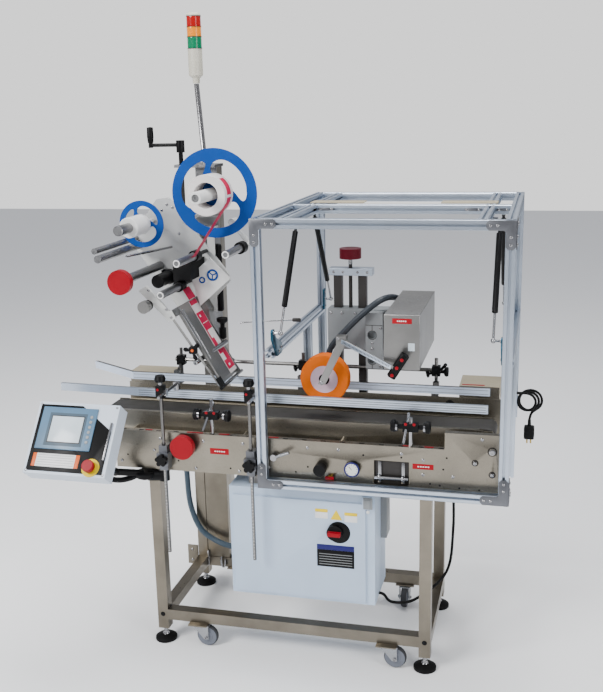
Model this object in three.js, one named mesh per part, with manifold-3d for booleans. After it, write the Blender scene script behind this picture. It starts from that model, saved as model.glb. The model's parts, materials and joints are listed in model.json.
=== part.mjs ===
// Carton sealing and tamper-label machine on a wheeled stand.
// Working frame while building, in mm: X along the conveyor, Y away from the operator, Z up,
// floor at Z 0, outer corner of the front left leg at X 0, Y 0.
// The finished group is moved so that its origin is the centre of the base.

import * as THREE from 'three';
import { mergeVertices } from 'three/addons/utils/BufferGeometryUtils.js';
import Module from 'manifold-3d';

const wasm = await Module();
wasm.setup();

// ---------------------------------------------------------------- driving dimensions

const TUBE = 38.1;              // stand tube, 1.5 inch square
const STAND_LENGTH = 953.1;     // outside of the legs along X
const STAND_DEPTH = 459.1;      // outside of the legs along Y
const LEG_BOTTOM = 48;
const LEG_TOP = 650;
const LOWER_RAIL_Z = 84;
const UPPER_RAIL_Z = 604;

const PROFILE = 30;             // guard extrusion
const GUARD_LEFT = 405;
const GUARD_RIGHT = 1189;
const GUARD_FRONT = -70;
const GUARD_BACK = 834;
const GUARD_TOP = 1495;
const GUARD_BOTTOM = 634;
const SIDE_BEAM_Z = 1030;
const MID_BEAM_Y = 350;

const PLATE_LEFT = -101;        // conveyor side plates
const PLATE_RIGHT = 1160;
const PLATE_FRONT = -26;
const PLATE_BACK = 262;
const PLATE_BOTTOM = 655;
const PLATE_TOP = 787;
const END_PLATE_TOP = 841;
const END_PLATE_LEFT = 994;
const BELT_TOP = 820;
const BELT_FRONT = 92;
const BELT_BACK = 196;
const NOSE_X = -175;
const TAIL_X = 1120;

const RAIL_Z = 900;             // carton guide rails
const FRONT_RAIL_Y = 45;
const REAR_RAIL_Y = 235;

const REEL_X = 212;             // label unwind reel
const REEL_Z = 1548;
const REEL_Y = 180;
const REEL_R = 146;
const REWIND_X = -55;
const REWIND_Z = 1444;
const REWIND_Y = 190;
const REWIND_R = 79;
const HEAD_PLATE_Y = 290;

const WHEEL_X = 585;            // carton press wheel
const WHEEL_Y = 140;
const WHEEL_Z = 951;
const WHEEL_R = 81;

const GAP = 0.4;                // clearance between separate pieces

// ---------------------------------------------------------------- solid helpers

function solid(geometry) {
  const plain = geometry.index ? geometry.toNonIndexed() : geometry.clone();
  plain.deleteAttribute('normal');
  plain.deleteAttribute('uv');
  const merged = mergeVertices(plain, 1e-4);
  return new wasm.Manifold(new wasm.Mesh({
    numProp: 3,
    vertProperties: new Float32Array(merged.attributes.position.array),
    triVerts: new Uint32Array(merged.index.array),
  }));
}

function join(...parts) {
  return parts.flat().reduce((sum, part) => sum.add(part));
}

function cut(body, ...tools) {
  return tools.flat().reduce((rest, tool) => rest.subtract(tool), body);
}

// Box from two opposite corners, given as ranges along X, Y and Z.
function box(x0, x1, y0, y1, z0, z1) {
  const geometry = new THREE.BoxGeometry(x1 - x0, y1 - y0, z1 - z0);
  geometry.translate((x0 + x1) / 2, (y0 + y1) / 2, (z0 + z1) / 2);
  return solid(geometry);
}

// Facets of a round piece: more on the larger radii.
function facets(radius) {
  if (radius < 8) return 8;
  if (radius < 16) return 12;
  if (radius < 32) return 20;
  if (radius < 60) return 30;
  return 44;
}

// Round bar between two points.
function bar(start, end, radius, sides = facets(radius)) {
  const a = new THREE.Vector3(...start);
  const b = new THREE.Vector3(...end);
  const direction = b.clone().sub(a);
  const geometry = new THREE.CylinderGeometry(radius, radius, direction.length(), sides);
  const turn = new THREE.Quaternion().setFromUnitVectors(
    new THREE.Vector3(0, 1, 0),
    direction.normalize(),
  );
  geometry.applyQuaternion(turn);
  geometry.translate((a.x + b.x) / 2, (a.y + b.y) / 2, (a.z + b.z) / 2);
  return solid(geometry);
}

function barX(x0, x1, y, z, radius) {
  return bar([x0, y, z], [x1, y, z], radius);
}

function barY(x, y0, y1, z, radius) {
  return bar([x, y0, z], [x, y1, z], radius);
}

function barZ(x, y, z0, z1, radius) {
  return bar([x, y, z0], [x, y, z1], radius);
}

// Flat plate standing in the X-Z plane, from an outline of [x, z] points.
function plateXZ(outline, y0, y1) {
  const shape = new THREE.Shape(outline.map(([x, z]) => new THREE.Vector2(x, z)));
  const geometry = new THREE.ExtrudeGeometry(shape, { depth: y1 - y0, bevelEnabled: false });
  geometry.rotateX(Math.PI / 2);
  geometry.translate(0, y1, 0);
  return solid(geometry);
}

// Flat plate lying in the X-Y plane, from an outline of [x, y] points.
function plateXY(outline, z0, z1) {
  const shape = new THREE.Shape(outline.map(([x, y]) => new THREE.Vector2(x, y)));
  const geometry = new THREE.ExtrudeGeometry(shape, { depth: z1 - z0, bevelEnabled: false });
  geometry.translate(0, 0, z0);
  return solid(geometry);
}

// Solid of revolution about a vertical axis, from [radius, z] points that start and end on it.
function turned(profile, x, y, sides = 24) {
  const points = profile.map(([r, z]) => new THREE.Vector2(r, z));
  const geometry = new THREE.LatheGeometry(points, sides);
  geometry.rotateX(Math.PI / 2);
  geometry.translate(x, y, 0);
  return solid(geometry);
}

// Flexible round hose along a smooth curve through the given points.
function hose(points, radius, steps, sides = 10) {
  const curve = new THREE.CatmullRomCurve3(
    points.map((p) => new THREE.Vector3(...p)),
    false,
    'centripetal',
  );
  const section = new THREE.Shape();
  for (let i = 0; i < sides; i += 1) {
    const angle = (2 * Math.PI * i) / sides;
    const u = radius * Math.cos(angle);
    const v = radius * Math.sin(angle);
    if (i === 0) section.moveTo(u, v);
    else section.lineTo(u, v);
  }
  section.closePath();
  return solid(new THREE.ExtrudeGeometry(section, { steps, extrudePath: curve, bevelEnabled: false }));
}

// Star knob with its axis along Y: round lobes about a hub.
function starKnobY(x, y0, y1, z, hubRadius, lobeRadius, lobes) {
  const parts = [barY(x, y0, y1, z, hubRadius)];
  for (let i = 0; i < lobes; i += 1) {
    const angle = (2 * Math.PI * i) / lobes + Math.PI / 2;
    const lx = x + hubRadius * Math.cos(angle);
    const lz = z + hubRadius * Math.sin(angle);
    parts.push(barY(lx, y0, y1, lz, lobeRadius));
  }
  return join(parts);
}

// ---------------------------------------------------------------- materials and assembly

const palette = {
  stainless: [0xa29d93, 0.35, 1.0],
  aluminium: [0xb9bec4, 0.35, 0.9],
  satin_steel: [0x9a9da0, 0.4, 0.9],
  bright_steel: [0xc4c6c8, 0.2, 1.0],
  dark_steel: [0x4a4846, 0.5, 0.7],
  black_plastic: [0x17171a, 0.5, 0.0],
  grey_rubber: [0x77777a, 0.7, 0.0],
  belt: [0x5d5850, 0.7, 0.0],
  blue_plastic: [0x0b4fae, 0.35, 0.0],
  white_plastic: [0xe6e6e4, 0.4, 0.0],
  cream: [0xd8d2bd, 0.5, 0.1],
  red_plastic: [0xb01622, 0.4, 0.0],
  orange_foam: [0xe6571b, 0.8, 0.0],
  label_paper: [0xe9e4e0, 0.6, 0.0],
  cabinet_paint: [0xb9c7d6, 0.45, 0.1],
  head_paint: [0xc3c5c2, 0.45, 0.2],
  hose_grey: [0x5c646b, 0.6, 0.1],
};

const materials = {};
for (const [name, [color, roughness, metalness]] of Object.entries(palette)) {
  materials[name] = new THREE.MeshStandardMaterial({ name, color, roughness, metalness });
}

const machine = new THREE.Group();
machine.name = 'carton_label_sealer';

function add(name, body, material) {
  const mesh = body.getMesh();
  const geometry = new THREE.BufferGeometry();
  const positions = new THREE.BufferAttribute(new Float32Array(mesh.vertProperties), 3);
  geometry.setAttribute('position', positions);
  geometry.setIndex(new THREE.BufferAttribute(new Uint32Array(mesh.triVerts), 1));
  geometry.computeVertexNormals();
  const node = new THREE.Mesh(geometry, materials[material]);
  node.name = name;
  machine.add(node);
}

// ---------------------------------------------------------------- stand, feet and casters

const legX = [0, STAND_LENGTH - TUBE];
const legY = [0, STAND_DEPTH - TUBE];

const casterSpots = [
  { name: 'front_left', x: 152, y: 8, turn: 0 },
  { name: 'front_right', x: 809, y: 8, turn: 0 },
  { name: 'rear_left', x: 152, y: 440, turn: 30 },
  { name: 'rear_right', x: 811, y: 440, turn: -90 },
];

const standParts = [];
for (const x of legX) {
  for (const y of legY) {
    standParts.push(box(x, x + TUBE, y, y + TUBE, LEG_BOTTOM, LEG_TOP));
  }
  for (const z of [LOWER_RAIL_Z, UPPER_RAIL_Z]) {
    standParts.push(box(x, x + TUBE, TUBE - 1, STAND_DEPTH - TUBE + 1, z, z + TUBE));
  }
}
for (const y of legY) {
  standParts.push(box(TUBE - 1, STAND_LENGTH - TUBE + 1, y, y + TUBE, LOWER_RAIL_Z, LOWER_RAIL_Z + TUBE));
}
standParts.push(box(TUBE - 1, STAND_LENGTH - TUBE + 1, 421, 459, UPPER_RAIL_Z, UPPER_RAIL_Z + TUBE));
for (const spot of casterSpots) {
  standParts.push(box(spot.x - 34, spot.x + 34, spot.y - 30, spot.y + 30, 80, LOWER_RAIL_Z));
}
// Threaded leveling feet, screwed up into the leg ends.
const FOOT_PROFILE = [
  [0, 0], [38, 0], [38, 9], [30, 15], [12, 20], [9, 26], [9, 30], [7, 30],
  [7, LEG_BOTTOM + 5], [0, LEG_BOTTOM + 5],
];
for (const x of legX) {
  for (const y of legY) {
    standParts.push(turned(FOOT_PROFILE, x + TUBE / 2, y + TUBE / 2, 18));
  }
}
add('stand_frame', join(standParts), 'stainless');

// Swivel caster with its wheel trailing along +X, then turned about the vertical swivel axis.
const CASTER_WHEEL_R = 37.5;
const CASTER_TRAIL = 28;
for (const spot of casterSpots) {
  const fork = join(
    barZ(0, 0, 76.4, 79.6, 26),
    box(-22, 38, -20, 20, 76.4, 79.6),
    plateXZ([[-20, 78], [36, 78], [36, 30], [20, 30]], -20, -17),
    plateXZ([[-20, 78], [36, 78], [36, 30], [20, 30]], 17, 20),
    barY(CASTER_TRAIL, -22, 22, CASTER_WHEEL_R, 5),
  );
  const tread = [
    [0, -13], [20, -13], [20, -11], [34, -11], [37.5, -6], [37.5, 6], [34, 11], [20, 11], [20, 13], [0, 13],
  ];
  const wheel = cut(
    turned(tread, 0, 0, 24).rotate([90, 0, 0]).translate([CASTER_TRAIL, 0, CASTER_WHEEL_R]),
    barY(CASTER_TRAIL, -20, 20, CASTER_WHEEL_R, 5.5),
  );
  const place = (body) => body.rotate([0, 0, spot.turn]).translate([spot.x, spot.y, 0]);
  add(`caster_fork_${spot.name}`, place(fork), 'bright_steel');
  add(`caster_wheel_${spot.name}`, place(wheel), 'grey_rubber');
}

// ---------------------------------------------------------------- conveyor

const windowCut = box(774, 884, -40, 0, 660, 738);
const POST_Y = -52;
const postSpots = [['infeed', 82], ['guard', 380]];
const postBrackets = postSpots.map(([, x]) => cut(
  join(
    box(x - 14, x + 14, POST_Y - 11, PLATE_FRONT + 1, 668, 752),
    box(x - 20, x + 20, POST_Y - 20, POST_Y + 14, 690, 728),
  ),
  barZ(x, POST_Y, 600, 800, 6.8),
));

// Short posts on the front plate's flange, each with a double clamp and a crossing rod.
function flangePost(x, clampZ, rodTop, rodSplay) {
  const y = -14;
  return join(
    barZ(x, y, PLATE_TOP - 1, rodTop, 6),
    box(x - 24, x + 24, y - 13, y + 13, clampZ - 13, clampZ + 13),
    barX(x - 46, x + 46, y, clampZ, 8),
    barX(x - 52, x - 40, y, clampZ, 16),
    barX(x + 40, x + 52, y, clampZ, 16),
    bar([x - 16, y - 46, clampZ - 40], [x - 16 + rodSplay, y + 34, clampZ + 32], 5),
  );
}

const frontPlate = cut(
  join(
    box(PLATE_LEFT, END_PLATE_LEFT, PLATE_FRONT, PLATE_FRONT + 4, PLATE_BOTTOM, PLATE_TOP),
    box(END_PLATE_LEFT - 1, PLATE_RIGHT, PLATE_FRONT, PLATE_FRONT + 4, PLATE_BOTTOM, END_PLATE_TOP),
    box(PLATE_LEFT, END_PLATE_LEFT, PLATE_FRONT, -2, PLATE_TOP - 3, PLATE_TOP),
    box(END_PLATE_LEFT - 1, PLATE_RIGHT, PLATE_FRONT, -2, END_PLATE_TOP - 3, END_PLATE_TOP),
    box(PLATE_LEFT, PLATE_RIGHT, PLATE_FRONT, -2, PLATE_BOTTOM, PLATE_BOTTOM + 3),
    barY(1137, -31, -20, 789, 11),
    barY(1086, -30, -20, 750, 7),
    barY(1138, -30, -20, 715, 7),
    box(770, 888, -34, -25, 655, 667),
    barY(706, -44, PLATE_FRONT + 1, 707, 25),
    bar([12, -30, 632], [66, -24, 634], 18),
    barZ(66, -24, 618, PLATE_BOTTOM + 1, 18),
    flangePost(239, 852, 905, 10),
    flangePost(887, 850, 880, 6),
    postBrackets,
  ),
  windowCut,
);
add('conveyor_front_plate', frontPlate, 'stainless');

const rearPlateParts = [
  box(-170, PLATE_RIGHT, PLATE_BACK, PLATE_BACK + 4, PLATE_BOTTOM, 868),
];
rearPlateParts.push(box(1010, 1142, PLATE_BACK + 3, 400, 846, 908));
rearPlateParts.push(box(-165, 5, PLATE_BACK + 3, 350, 850, 905));
add('conveyor_rear_plate', cut(join(rearPlateParts), barY(980, 255, 270, 842, 16)), 'stainless');

// Inner bed: a channel that carries the belt, tied to both side plates by cross bars.
const bedParts = [
  box(NOSE_X + 30, TAIL_X - 30, 74, 78, 744, BELT_TOP + 2),
  box(NOSE_X + 30, TAIL_X - 30, 210, 214, 744, BELT_TOP + 2),
  box(NOSE_X + 30, TAIL_X - 30, 74, 90, BELT_TOP - 4, BELT_TOP + 2),
  box(NOSE_X + 30, TAIL_X - 30, 198, 214, BELT_TOP - 4, BELT_TOP + 2),
  box(NOSE_X + 50, TAIL_X - 50, 76, 212, 795, 803),
  box(NOSE_X - 12, NOSE_X + 40, 74, 80, 770, BELT_TOP),
  box(NOSE_X - 12, NOSE_X + 40, 208, 214, 770, BELT_TOP),
  box(TAIL_X - 40, TAIL_X + 12, 74, 80, 770, BELT_TOP),
  box(TAIL_X - 40, TAIL_X + 12, 208, 214, 770, BELT_TOP),
];
for (const x of [-60, 330, 660, 1040]) {
  bedParts.push(barY(x, -21.6, 76, 765, 8));
  bedParts.push(barY(x, 212, 261.6, 765, 8));
}
add('belt_bed', join(bedParts), 'stainless');

const ROLLER_R = 19;
const ROLLER_Z = BELT_TOP - 2.4 - ROLLER_R;
for (const [name, x] of [['infeed_roller', NOSE_X], ['outfeed_roller', TAIL_X]]) {
  const roller = join(
    barY(x, BELT_FRONT - 10, BELT_BACK + 10, ROLLER_Z, ROLLER_R),
    barY(x, 80.4, 207.6, ROLLER_Z, 7),
  );
  add(name, roller, 'satin_steel');
}

// Flat belt loop: straight runs joined by half rounds about the two end rollers.
function beltLoop(radius) {
  const outline = [];
  const steps = 14;
  for (let i = 0; i <= steps; i += 1) {
    const angle = Math.PI / 2 + (Math.PI * i) / steps;
    outline.push([NOSE_X + radius * Math.cos(angle), ROLLER_Z + radius * Math.sin(angle)]);
  }
  for (let i = 0; i <= steps; i += 1) {
    const angle = -Math.PI / 2 + (Math.PI * i) / steps;
    outline.push([TAIL_X + radius * Math.cos(angle), ROLLER_Z + radius * Math.sin(angle)]);
  }
  return outline;
}
const BELT_CLEAR = ROLLER_R + 0.4;
const belt = cut(
  plateXZ(beltLoop(BELT_CLEAR + 2), BELT_FRONT, BELT_BACK),
  plateXZ(beltLoop(BELT_CLEAR), BELT_FRONT - 1, BELT_BACK + 1),
);
add('conveyor_belt', belt, 'belt');

// ---------------------------------------------------------------- guide rails and clamps

const RAIL_H = 13;
const RAIL_TOP = RAIL_Z + RAIL_H;
const frontRailParts = [plateXY([
  [-329, 52], [-40, 39], [1117, 39], [1117, 51], [-38, 51], [-329, 64],
], RAIL_Z - RAIL_H, RAIL_TOP)];

// Upright rod with a cross clamp and a horizontal rod that reaches over to the front rail.
const CLAMP_Z = 940;
for (const [, x] of postSpots) {
  const capProfile = [
    [0, CLAMP_Z + 28], [17, CLAMP_Z + 28], [19, CLAMP_Z + 36], [15, CLAMP_Z + 48], [0, CLAMP_Z + 48],
  ];
  frontRailParts.push(barZ(x, POST_Y, 372, 950, 6));
  frontRailParts.push(box(x - 13, x + 13, POST_Y - 13, POST_Y + 13, CLAMP_Z - 26, CLAMP_Z + 14));
  frontRailParts.push(barZ(x, POST_Y, CLAMP_Z + 12, CLAMP_Z + 30, 7));
  frontRailParts.push(turned(capProfile, x, POST_Y, 12));
  frontRailParts.push(bar([x + 17, POST_Y - 62, CLAMP_Z - 8], [x + 17, FRONT_RAIL_Y + 2, CLAMP_Z - 8], 5));
  frontRailParts.push(box(x, x + 22, POST_Y - 9, POST_Y + 9, CLAMP_Z - 17, CLAMP_Z + 1));
  frontRailParts.push(box(x + 8, x + 26, FRONT_RAIL_Y - 8, FRONT_RAIL_Y + 8, RAIL_TOP - 2, CLAMP_Z));
}
add('front_guide_rail', join(frontRailParts), 'bright_steel');
for (const [name, x] of postSpots) {
  add(`star_knob_${name}`, starKnobY(x, POST_Y - 36, POST_Y - 20 - GAP, 708, 13, 8, 5), 'black_plastic');
}

const SUPPORT_ROD_Y = 300;
const rearRailParts = [
  plateXY([
    [-342, 347], [-141, 229], [1112, 229], [1112, 241], [-138, 241], [-336, 357],
  ], RAIL_Z - RAIL_H, RAIL_TOP),
  barX(-2, 946, SUPPORT_ROD_Y, 948, 7),
];
for (const x of [20, 175, 470, 930]) {
  rearRailParts.push(box(x - 14, x + 14, SUPPORT_ROD_Y - 14, SUPPORT_ROD_Y + 14, 930, 964));
  rearRailParts.push(barZ(x, SUPPORT_ROD_Y, 868 + GAP, 990, 6));
  rearRailParts.push(bar([x, SUPPORT_ROD_Y, 938], [x + 6, REAR_RAIL_Y + 4, RAIL_TOP + 4], 5));
  rearRailParts.push(box(x - 4, x + 16, REAR_RAIL_Y - 5, REAR_RAIL_Y + 14, RAIL_TOP - 2, RAIL_TOP + 12));
  rearRailParts.push(box(x - 12, x + 12, PLATE_BACK - 1, SUPPORT_ROD_Y + 12, 868 + GAP, 876));
}
add('rear_guide_rail', join(rearRailParts), 'aluminium');

// ---------------------------------------------------------------- operator controls on the conveyor

add('side_adjust_knob', join(
  barY(148, -66, -44, 749, 40),
  barY(148, -46, PLATE_FRONT - GAP, 749, 9),
), 'red_plastic');
add('regulator_knob', join(
  barY(605, -62, -38, 703, 20),
  barY(605, -40, PLATE_FRONT - GAP, 703, 12),
), 'black_plastic');
add('clamp_lever', join(
  barY(452, -48, PLATE_FRONT - GAP, 730, 11),
  bar([452, -43, 730], [506, -52, 754], 5),
), 'bright_steel');

// ---------------------------------------------------------------- guard

const DOOR_ARM_END = 345;
const innerArmX = [487, 1078];
const outerArmX = [GUARD_LEFT, GUARD_RIGHT - PROFILE];
const BEAM_Z = GUARD_TOP - PROFILE;

function profileY(x, y0, y1, z) {
  return box(x, x + PROFILE, y0, y1, z, z + PROFILE);
}

const doorParts = [
  box(GUARD_LEFT, GUARD_RIGHT, GUARD_FRONT, GUARD_FRONT + PROFILE, BEAM_Z, GUARD_TOP),
  box(GUARD_LEFT, GUARD_RIGHT, GUARD_FRONT, GUARD_FRONT + PROFILE, GUARD_BOTTOM, GUARD_BOTTOM + PROFILE),
];
for (const x of outerArmX) {
  doorParts.push(box(x, x + PROFILE, GUARD_FRONT, GUARD_FRONT + PROFILE, GUARD_BOTTOM, GUARD_TOP));
}
for (const x of [...outerArmX, ...innerArmX]) {
  doorParts.push(profileY(x, GUARD_FRONT + PROFILE - 1, DOOR_ARM_END, BEAM_Z));
}
for (const x of innerArmX) {
  const side = x < 700 ? -1 : 1;
  const face = side < 0 ? x : x + PROFILE;
  doorParts.push(box(face - 14, face + 14, 244, 268, BEAM_Z - 30, BEAM_Z + 1));
}
add('front_guard_door', join(doorParts), 'aluminium');

const frameParts = [
  box(GUARD_LEFT, GUARD_RIGHT, MID_BEAM_Y, MID_BEAM_Y + PROFILE, BEAM_Z, GUARD_TOP),
  box(GUARD_LEFT, GUARD_RIGHT, GUARD_BACK - PROFILE, GUARD_BACK, BEAM_Z, GUARD_TOP),
  box(GUARD_LEFT, GUARD_RIGHT, GUARD_BACK - PROFILE, GUARD_BACK, GUARD_BOTTOM, GUARD_BOTTOM + PROFILE),
  box(GUARD_LEFT, GUARD_RIGHT, 560, 560 + PROFILE, 646, 646 + PROFILE),
];
for (const x of outerArmX) {
  frameParts.push(box(x, x + PROFILE, GUARD_BACK - PROFILE, GUARD_BACK, GUARD_BOTTOM, GUARD_TOP));
  frameParts.push(profileY(x, MID_BEAM_Y, GUARD_BACK - 1, BEAM_Z));
  frameParts.push(profileY(x, 60, GUARD_BACK - 1, SIDE_BEAM_Z));
  frameParts.push(box(x, x + PROFILE, 560, 560 + PROFILE, 480, SIDE_BEAM_Z + 1));
}
for (const x of [470, 1040]) {
  frameParts.push(profileY(x, PLATE_BACK + 4 + GAP, 561, 646));
  frameParts.push(box(x, x + PROFILE, PLATE_BACK + 4 + GAP, PLATE_BACK + 34, 646, 720));
}
for (const side of [-1, 1]) {
  const inner = side < 0 ? GUARD_LEFT + PROFILE : GUARD_RIGHT - PROFILE;
  const reach = inner - side * 8;
  const left = Math.min(inner + side, reach);
  const right = Math.max(inner + side, reach);
  frameParts.push(box(left, right, 20, 132, 1034, 1132));
  frameParts.push(box(left, right, 764, 794, 1046, 1126));
}
add('guard_frame', join(frameParts), 'aluminium');

const lidParts = [
  box(innerArmX[0], innerArmX[1] + PROFILE, 768, 798, BEAM_Z, GUARD_TOP),
];
for (const x of innerArmX) {
  const face = x < 700 ? x : x + PROFILE;
  lidParts.push(profileY(x, 386, 769, BEAM_Z));
  lidParts.push(box(face - 14, face + 14, 512, 536, BEAM_Z - 15, BEAM_Z + 1));
  const plateLeft = x < 700 ? x - 6 : x - 150;
  lidParts.push(box(plateLeft, plateLeft + 186, 400, 470, GUARD_TOP - 1, GUARD_TOP + 3));
}
add('rear_guard_lid', join(lidParts), 'aluminium');

// Gas struts: a blind cylinder over a rod, between a ball joint on the frame and one on the door or lid.
const STRUT_REACH = 31;
const strutKinds = [
  { name: 'front', low: [30, 1122], high: [256, 1427], body: 285, bore: 262 },
  { name: 'rear', low: [778, 1086], high: [524, 1441], body: 330, bore: 310 },
];
for (const side of ['left', 'right']) {
  for (const kind of strutKinds) {
    const sign = side === 'left' ? 1 : -1;
    const edge = side === 'left' ? GUARD_LEFT + PROFILE : GUARD_RIGHT - PROFILE;
    const low = new THREE.Vector3(edge + sign * STRUT_REACH, ...kind.low);
    const high = new THREE.Vector3(edge + sign * STRUT_REACH, ...kind.high);
    const along = high.clone().sub(low);
    const length = along.length();
    along.normalize();
    const at = (distance) => low.clone().addScaledVector(along, distance).toArray();
    const cylinder = cut(
      join(
        bar(at(length - kind.body), at(length - 14), 9.5),
        bar(at(length - 15), at(length + 1), 5),
        bar(at(length + 0.5), at(length + 7), 6),
      ),
      bar(at(length - kind.body - 1), at(length - kind.body + kind.bore), 4.5),
    );
    const rod = join(
      bar(at(0), at(length - kind.body + kind.bore - 8), 4),
      barX(low.x - sign * (STRUT_REACH - 8 - GAP), low.x, low.y, low.z, 4),
      solid(new THREE.SphereGeometry(8, 12, 8).translate(low.x, low.y, low.z)),
    );
    add(`strut_cylinder_${kind.name}_${side}`, cylinder, 'black_plastic');
    add(`strut_rod_${kind.name}_${side}`, rod, 'bright_steel');
  }
}

// ---------------------------------------------------------------- mast and label head

const MAST_FRONT = 424;
const CRANK_X = 3;
const CRANK_Y = 440;
const LIGHT_Y = 570;
const mast = join(
  box(46, 127, 462, 468, 130, 1620),
  box(46, 52, 462, 520, 130, 1620),
  box(121, 127, 462, 520, 130, 1620),
  box(-20, 132, 426, 522, 1616, 1626),
  box(20, 70, 520, 588, 1616, 1626),
  barZ(CRANK_X, CRANK_Y, 1250, 1618, 8),
  box(-20, 19.6, 426, 468, 1240, 1252),
  box(-20, 60, 462, 468, 1240, 1252),
  box(44, 130, 462, 524, 124, 134),
  box(60, 108, 462, 474, 84, 130),
  box(39, 127, MAST_FRONT, MAST_FRONT + 10, 123, 603.6),
  box(80, 127, MAST_FRONT, 463, 123, 603.6),
);
const lightX = 27;
const pole = bar([46, LIGHT_Y, 1624], [lightX, LIGHT_Y, 1905], 9.5);
add('mast', join(mast, pole), 'satin_steel');

const crankTop = 1695;
add('crank_handle', join(
  barZ(CRANK_X, CRANK_Y, 1626.4, crankTop - 20, 8),
  barZ(CRANK_X, CRANK_Y, crankTop - 26, crankTop + 16, 15),
  bar([CRANK_X, CRANK_Y, crankTop], [CRANK_X - 112, CRANK_Y, crankTop], 6.5),
  barZ(CRANK_X - 112, CRANK_Y, crankTop - 9, crankTop + 8, 8),
), 'black_plastic');
add('crank_grip', turned([
  [0, crankTop + 8.4], [10, crankTop + 8.4], [12, crankTop + 30], [11, crankTop + 62], [0, crankTop + 64],
], CRANK_X - 112, CRANK_Y, 18), 'black_plastic');

// Head back plate with the carrier that rides on the mast.
const headOutline = [
  [-38, 1518], [6, 1524], [30, 1500], [214, 1262], [216, 1236],
  [118, 1132], [40, 1112], [-120, 1340], [-140, 1388],
];
const headParts = [
  plateXZ(headOutline, HEAD_PLATE_Y, HEAD_PLATE_Y + 12),
  box(20, 130, HEAD_PLATE_Y + 10, 461.6, 1240, 1252),
  box(20, 130, HEAD_PLATE_Y + 10, 461.6, 1400, 1412),
  box(20, 130, 449, 461.6, 1180, 1440),
  box(140, 168, HEAD_PLATE_Y + 2, HEAD_PLATE_Y + 60, 1130, 1420),
];
headParts.push(bar([REEL_X, HEAD_PLATE_Y + 6, REEL_Z], [60, HEAD_PLATE_Y + 6, 1440], 14));
headParts.push(barY(REEL_X, REEL_Y + 14, HEAD_PLATE_Y + 14, REEL_Z, 12));
headParts.push(barY(REWIND_X, REWIND_Y + 14, HEAD_PLATE_Y + 4, REWIND_Z, 10));
headParts.push(box(66, 128, 150, HEAD_PLATE_Y + 2, 1262, 1322));
headParts.push(barY(-122, -40, HEAD_PLATE_Y + 2, 1384, 10));
headParts.push(barY(-107, -50, HEAD_PLATE_Y + 2, 1360, 13));
add('head_plate', join(headParts), 'head_paint');

// One swirl window of a reel disc: [share of the disc radius, degrees]. Each disc has three.
const swirl = [
  [0.77, -2], [0.78, 15], [0.785, 32], [0.79, 48], [0.79, 64], [0.765, 77], [0.7, 88], [0.61, 95],
  [0.52, 98], [0.43, 92], [0.38, 72], [0.36, 45], [0.39, 18], [0.49, 0], [0.59, -11], [0.68, -15],
  [0.745, -11],
];
const SWIRL_COUNT = 3;

function reel(x, y, z, radius, hubRadius, hubFront, boreRadius, phase) {
  const disc = barY(x, y, y + 5, z, radius);
  const windows = [];
  for (let i = 0; i < SWIRL_COUNT; i += 1) {
    const outline = swirl.map(([share, degrees]) => {
      const angle = ((degrees + phase + (360 * i) / SWIRL_COUNT) * Math.PI) / 180;
      return [x + radius * share * Math.cos(angle), z + radius * share * Math.sin(angle)];
    });
    windows.push(plateXZ(outline, y - 1, y + 6));
  }
  return cut(
    join(
      cut(disc, windows),
      barY(x, hubFront, y + 13, z, hubRadius),
    ),
    barY(x, hubFront - 1, y + 6, z, boreRadius),
  );
}
add('unwind_reel', reel(REEL_X, REEL_Y, REEL_Z, REEL_R, 20, 0, 13, 0), 'blue_plastic');
add('label_roll', cut(
  barY(REEL_X, 96, REEL_Y - GAP, REEL_Z, 66),
  barY(REEL_X, 90, REEL_Y + 2, REEL_Z, 41),
), 'label_paper');
add('rewind_reel', join(
  reel(REWIND_X, REWIND_Y, REWIND_Z, REWIND_R, 17, 0, 11, 12),
  cut(
    barY(REWIND_X, 70, REWIND_Y + 1, REWIND_Z, 34),
    barY(REWIND_X, 60, REWIND_Y + 2, REWIND_Z, 15),
  ),
), 'blue_plastic');

// Drive roller with the red hand knob on its front end.
add('drive_roller', join(
  barY(-36, -12, HEAD_PLATE_Y - GAP, 1288, 13),
  barY(-36, -46, -10, 1288, 9),
  barY(-36, -58, -34, 1288, 40),
), 'red_plastic');

const rollerSpots = [
  { name: 'guide_roller_upper', x: 137, z: 1342, r: 13 },
  { name: 'guide_roller_lower', x: 76, z: 1238, r: 13 },
];
for (const { name, x, z, r } of rollerSpots) {
  add(name, join(
    barY(x, 4, 160, z, r),
    barY(x, 158, 196, z, r + 6),
    barY(x, 194, HEAD_PLATE_Y - GAP, z, 7),
  ), 'satin_steel');
}
add('dancer_arm', join(
  barY(302, 4, 150, 1373, 13),
  barY(302, 148, 184, 1373, 20),
  barY(302, 182, 262, 1373, 7),
  bar([302, 256, 1373], [246, 256, 1446], 9),
  barY(246, 246, HEAD_PLATE_Y - GAP, 1446, 12),
), 'satin_steel');

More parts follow.
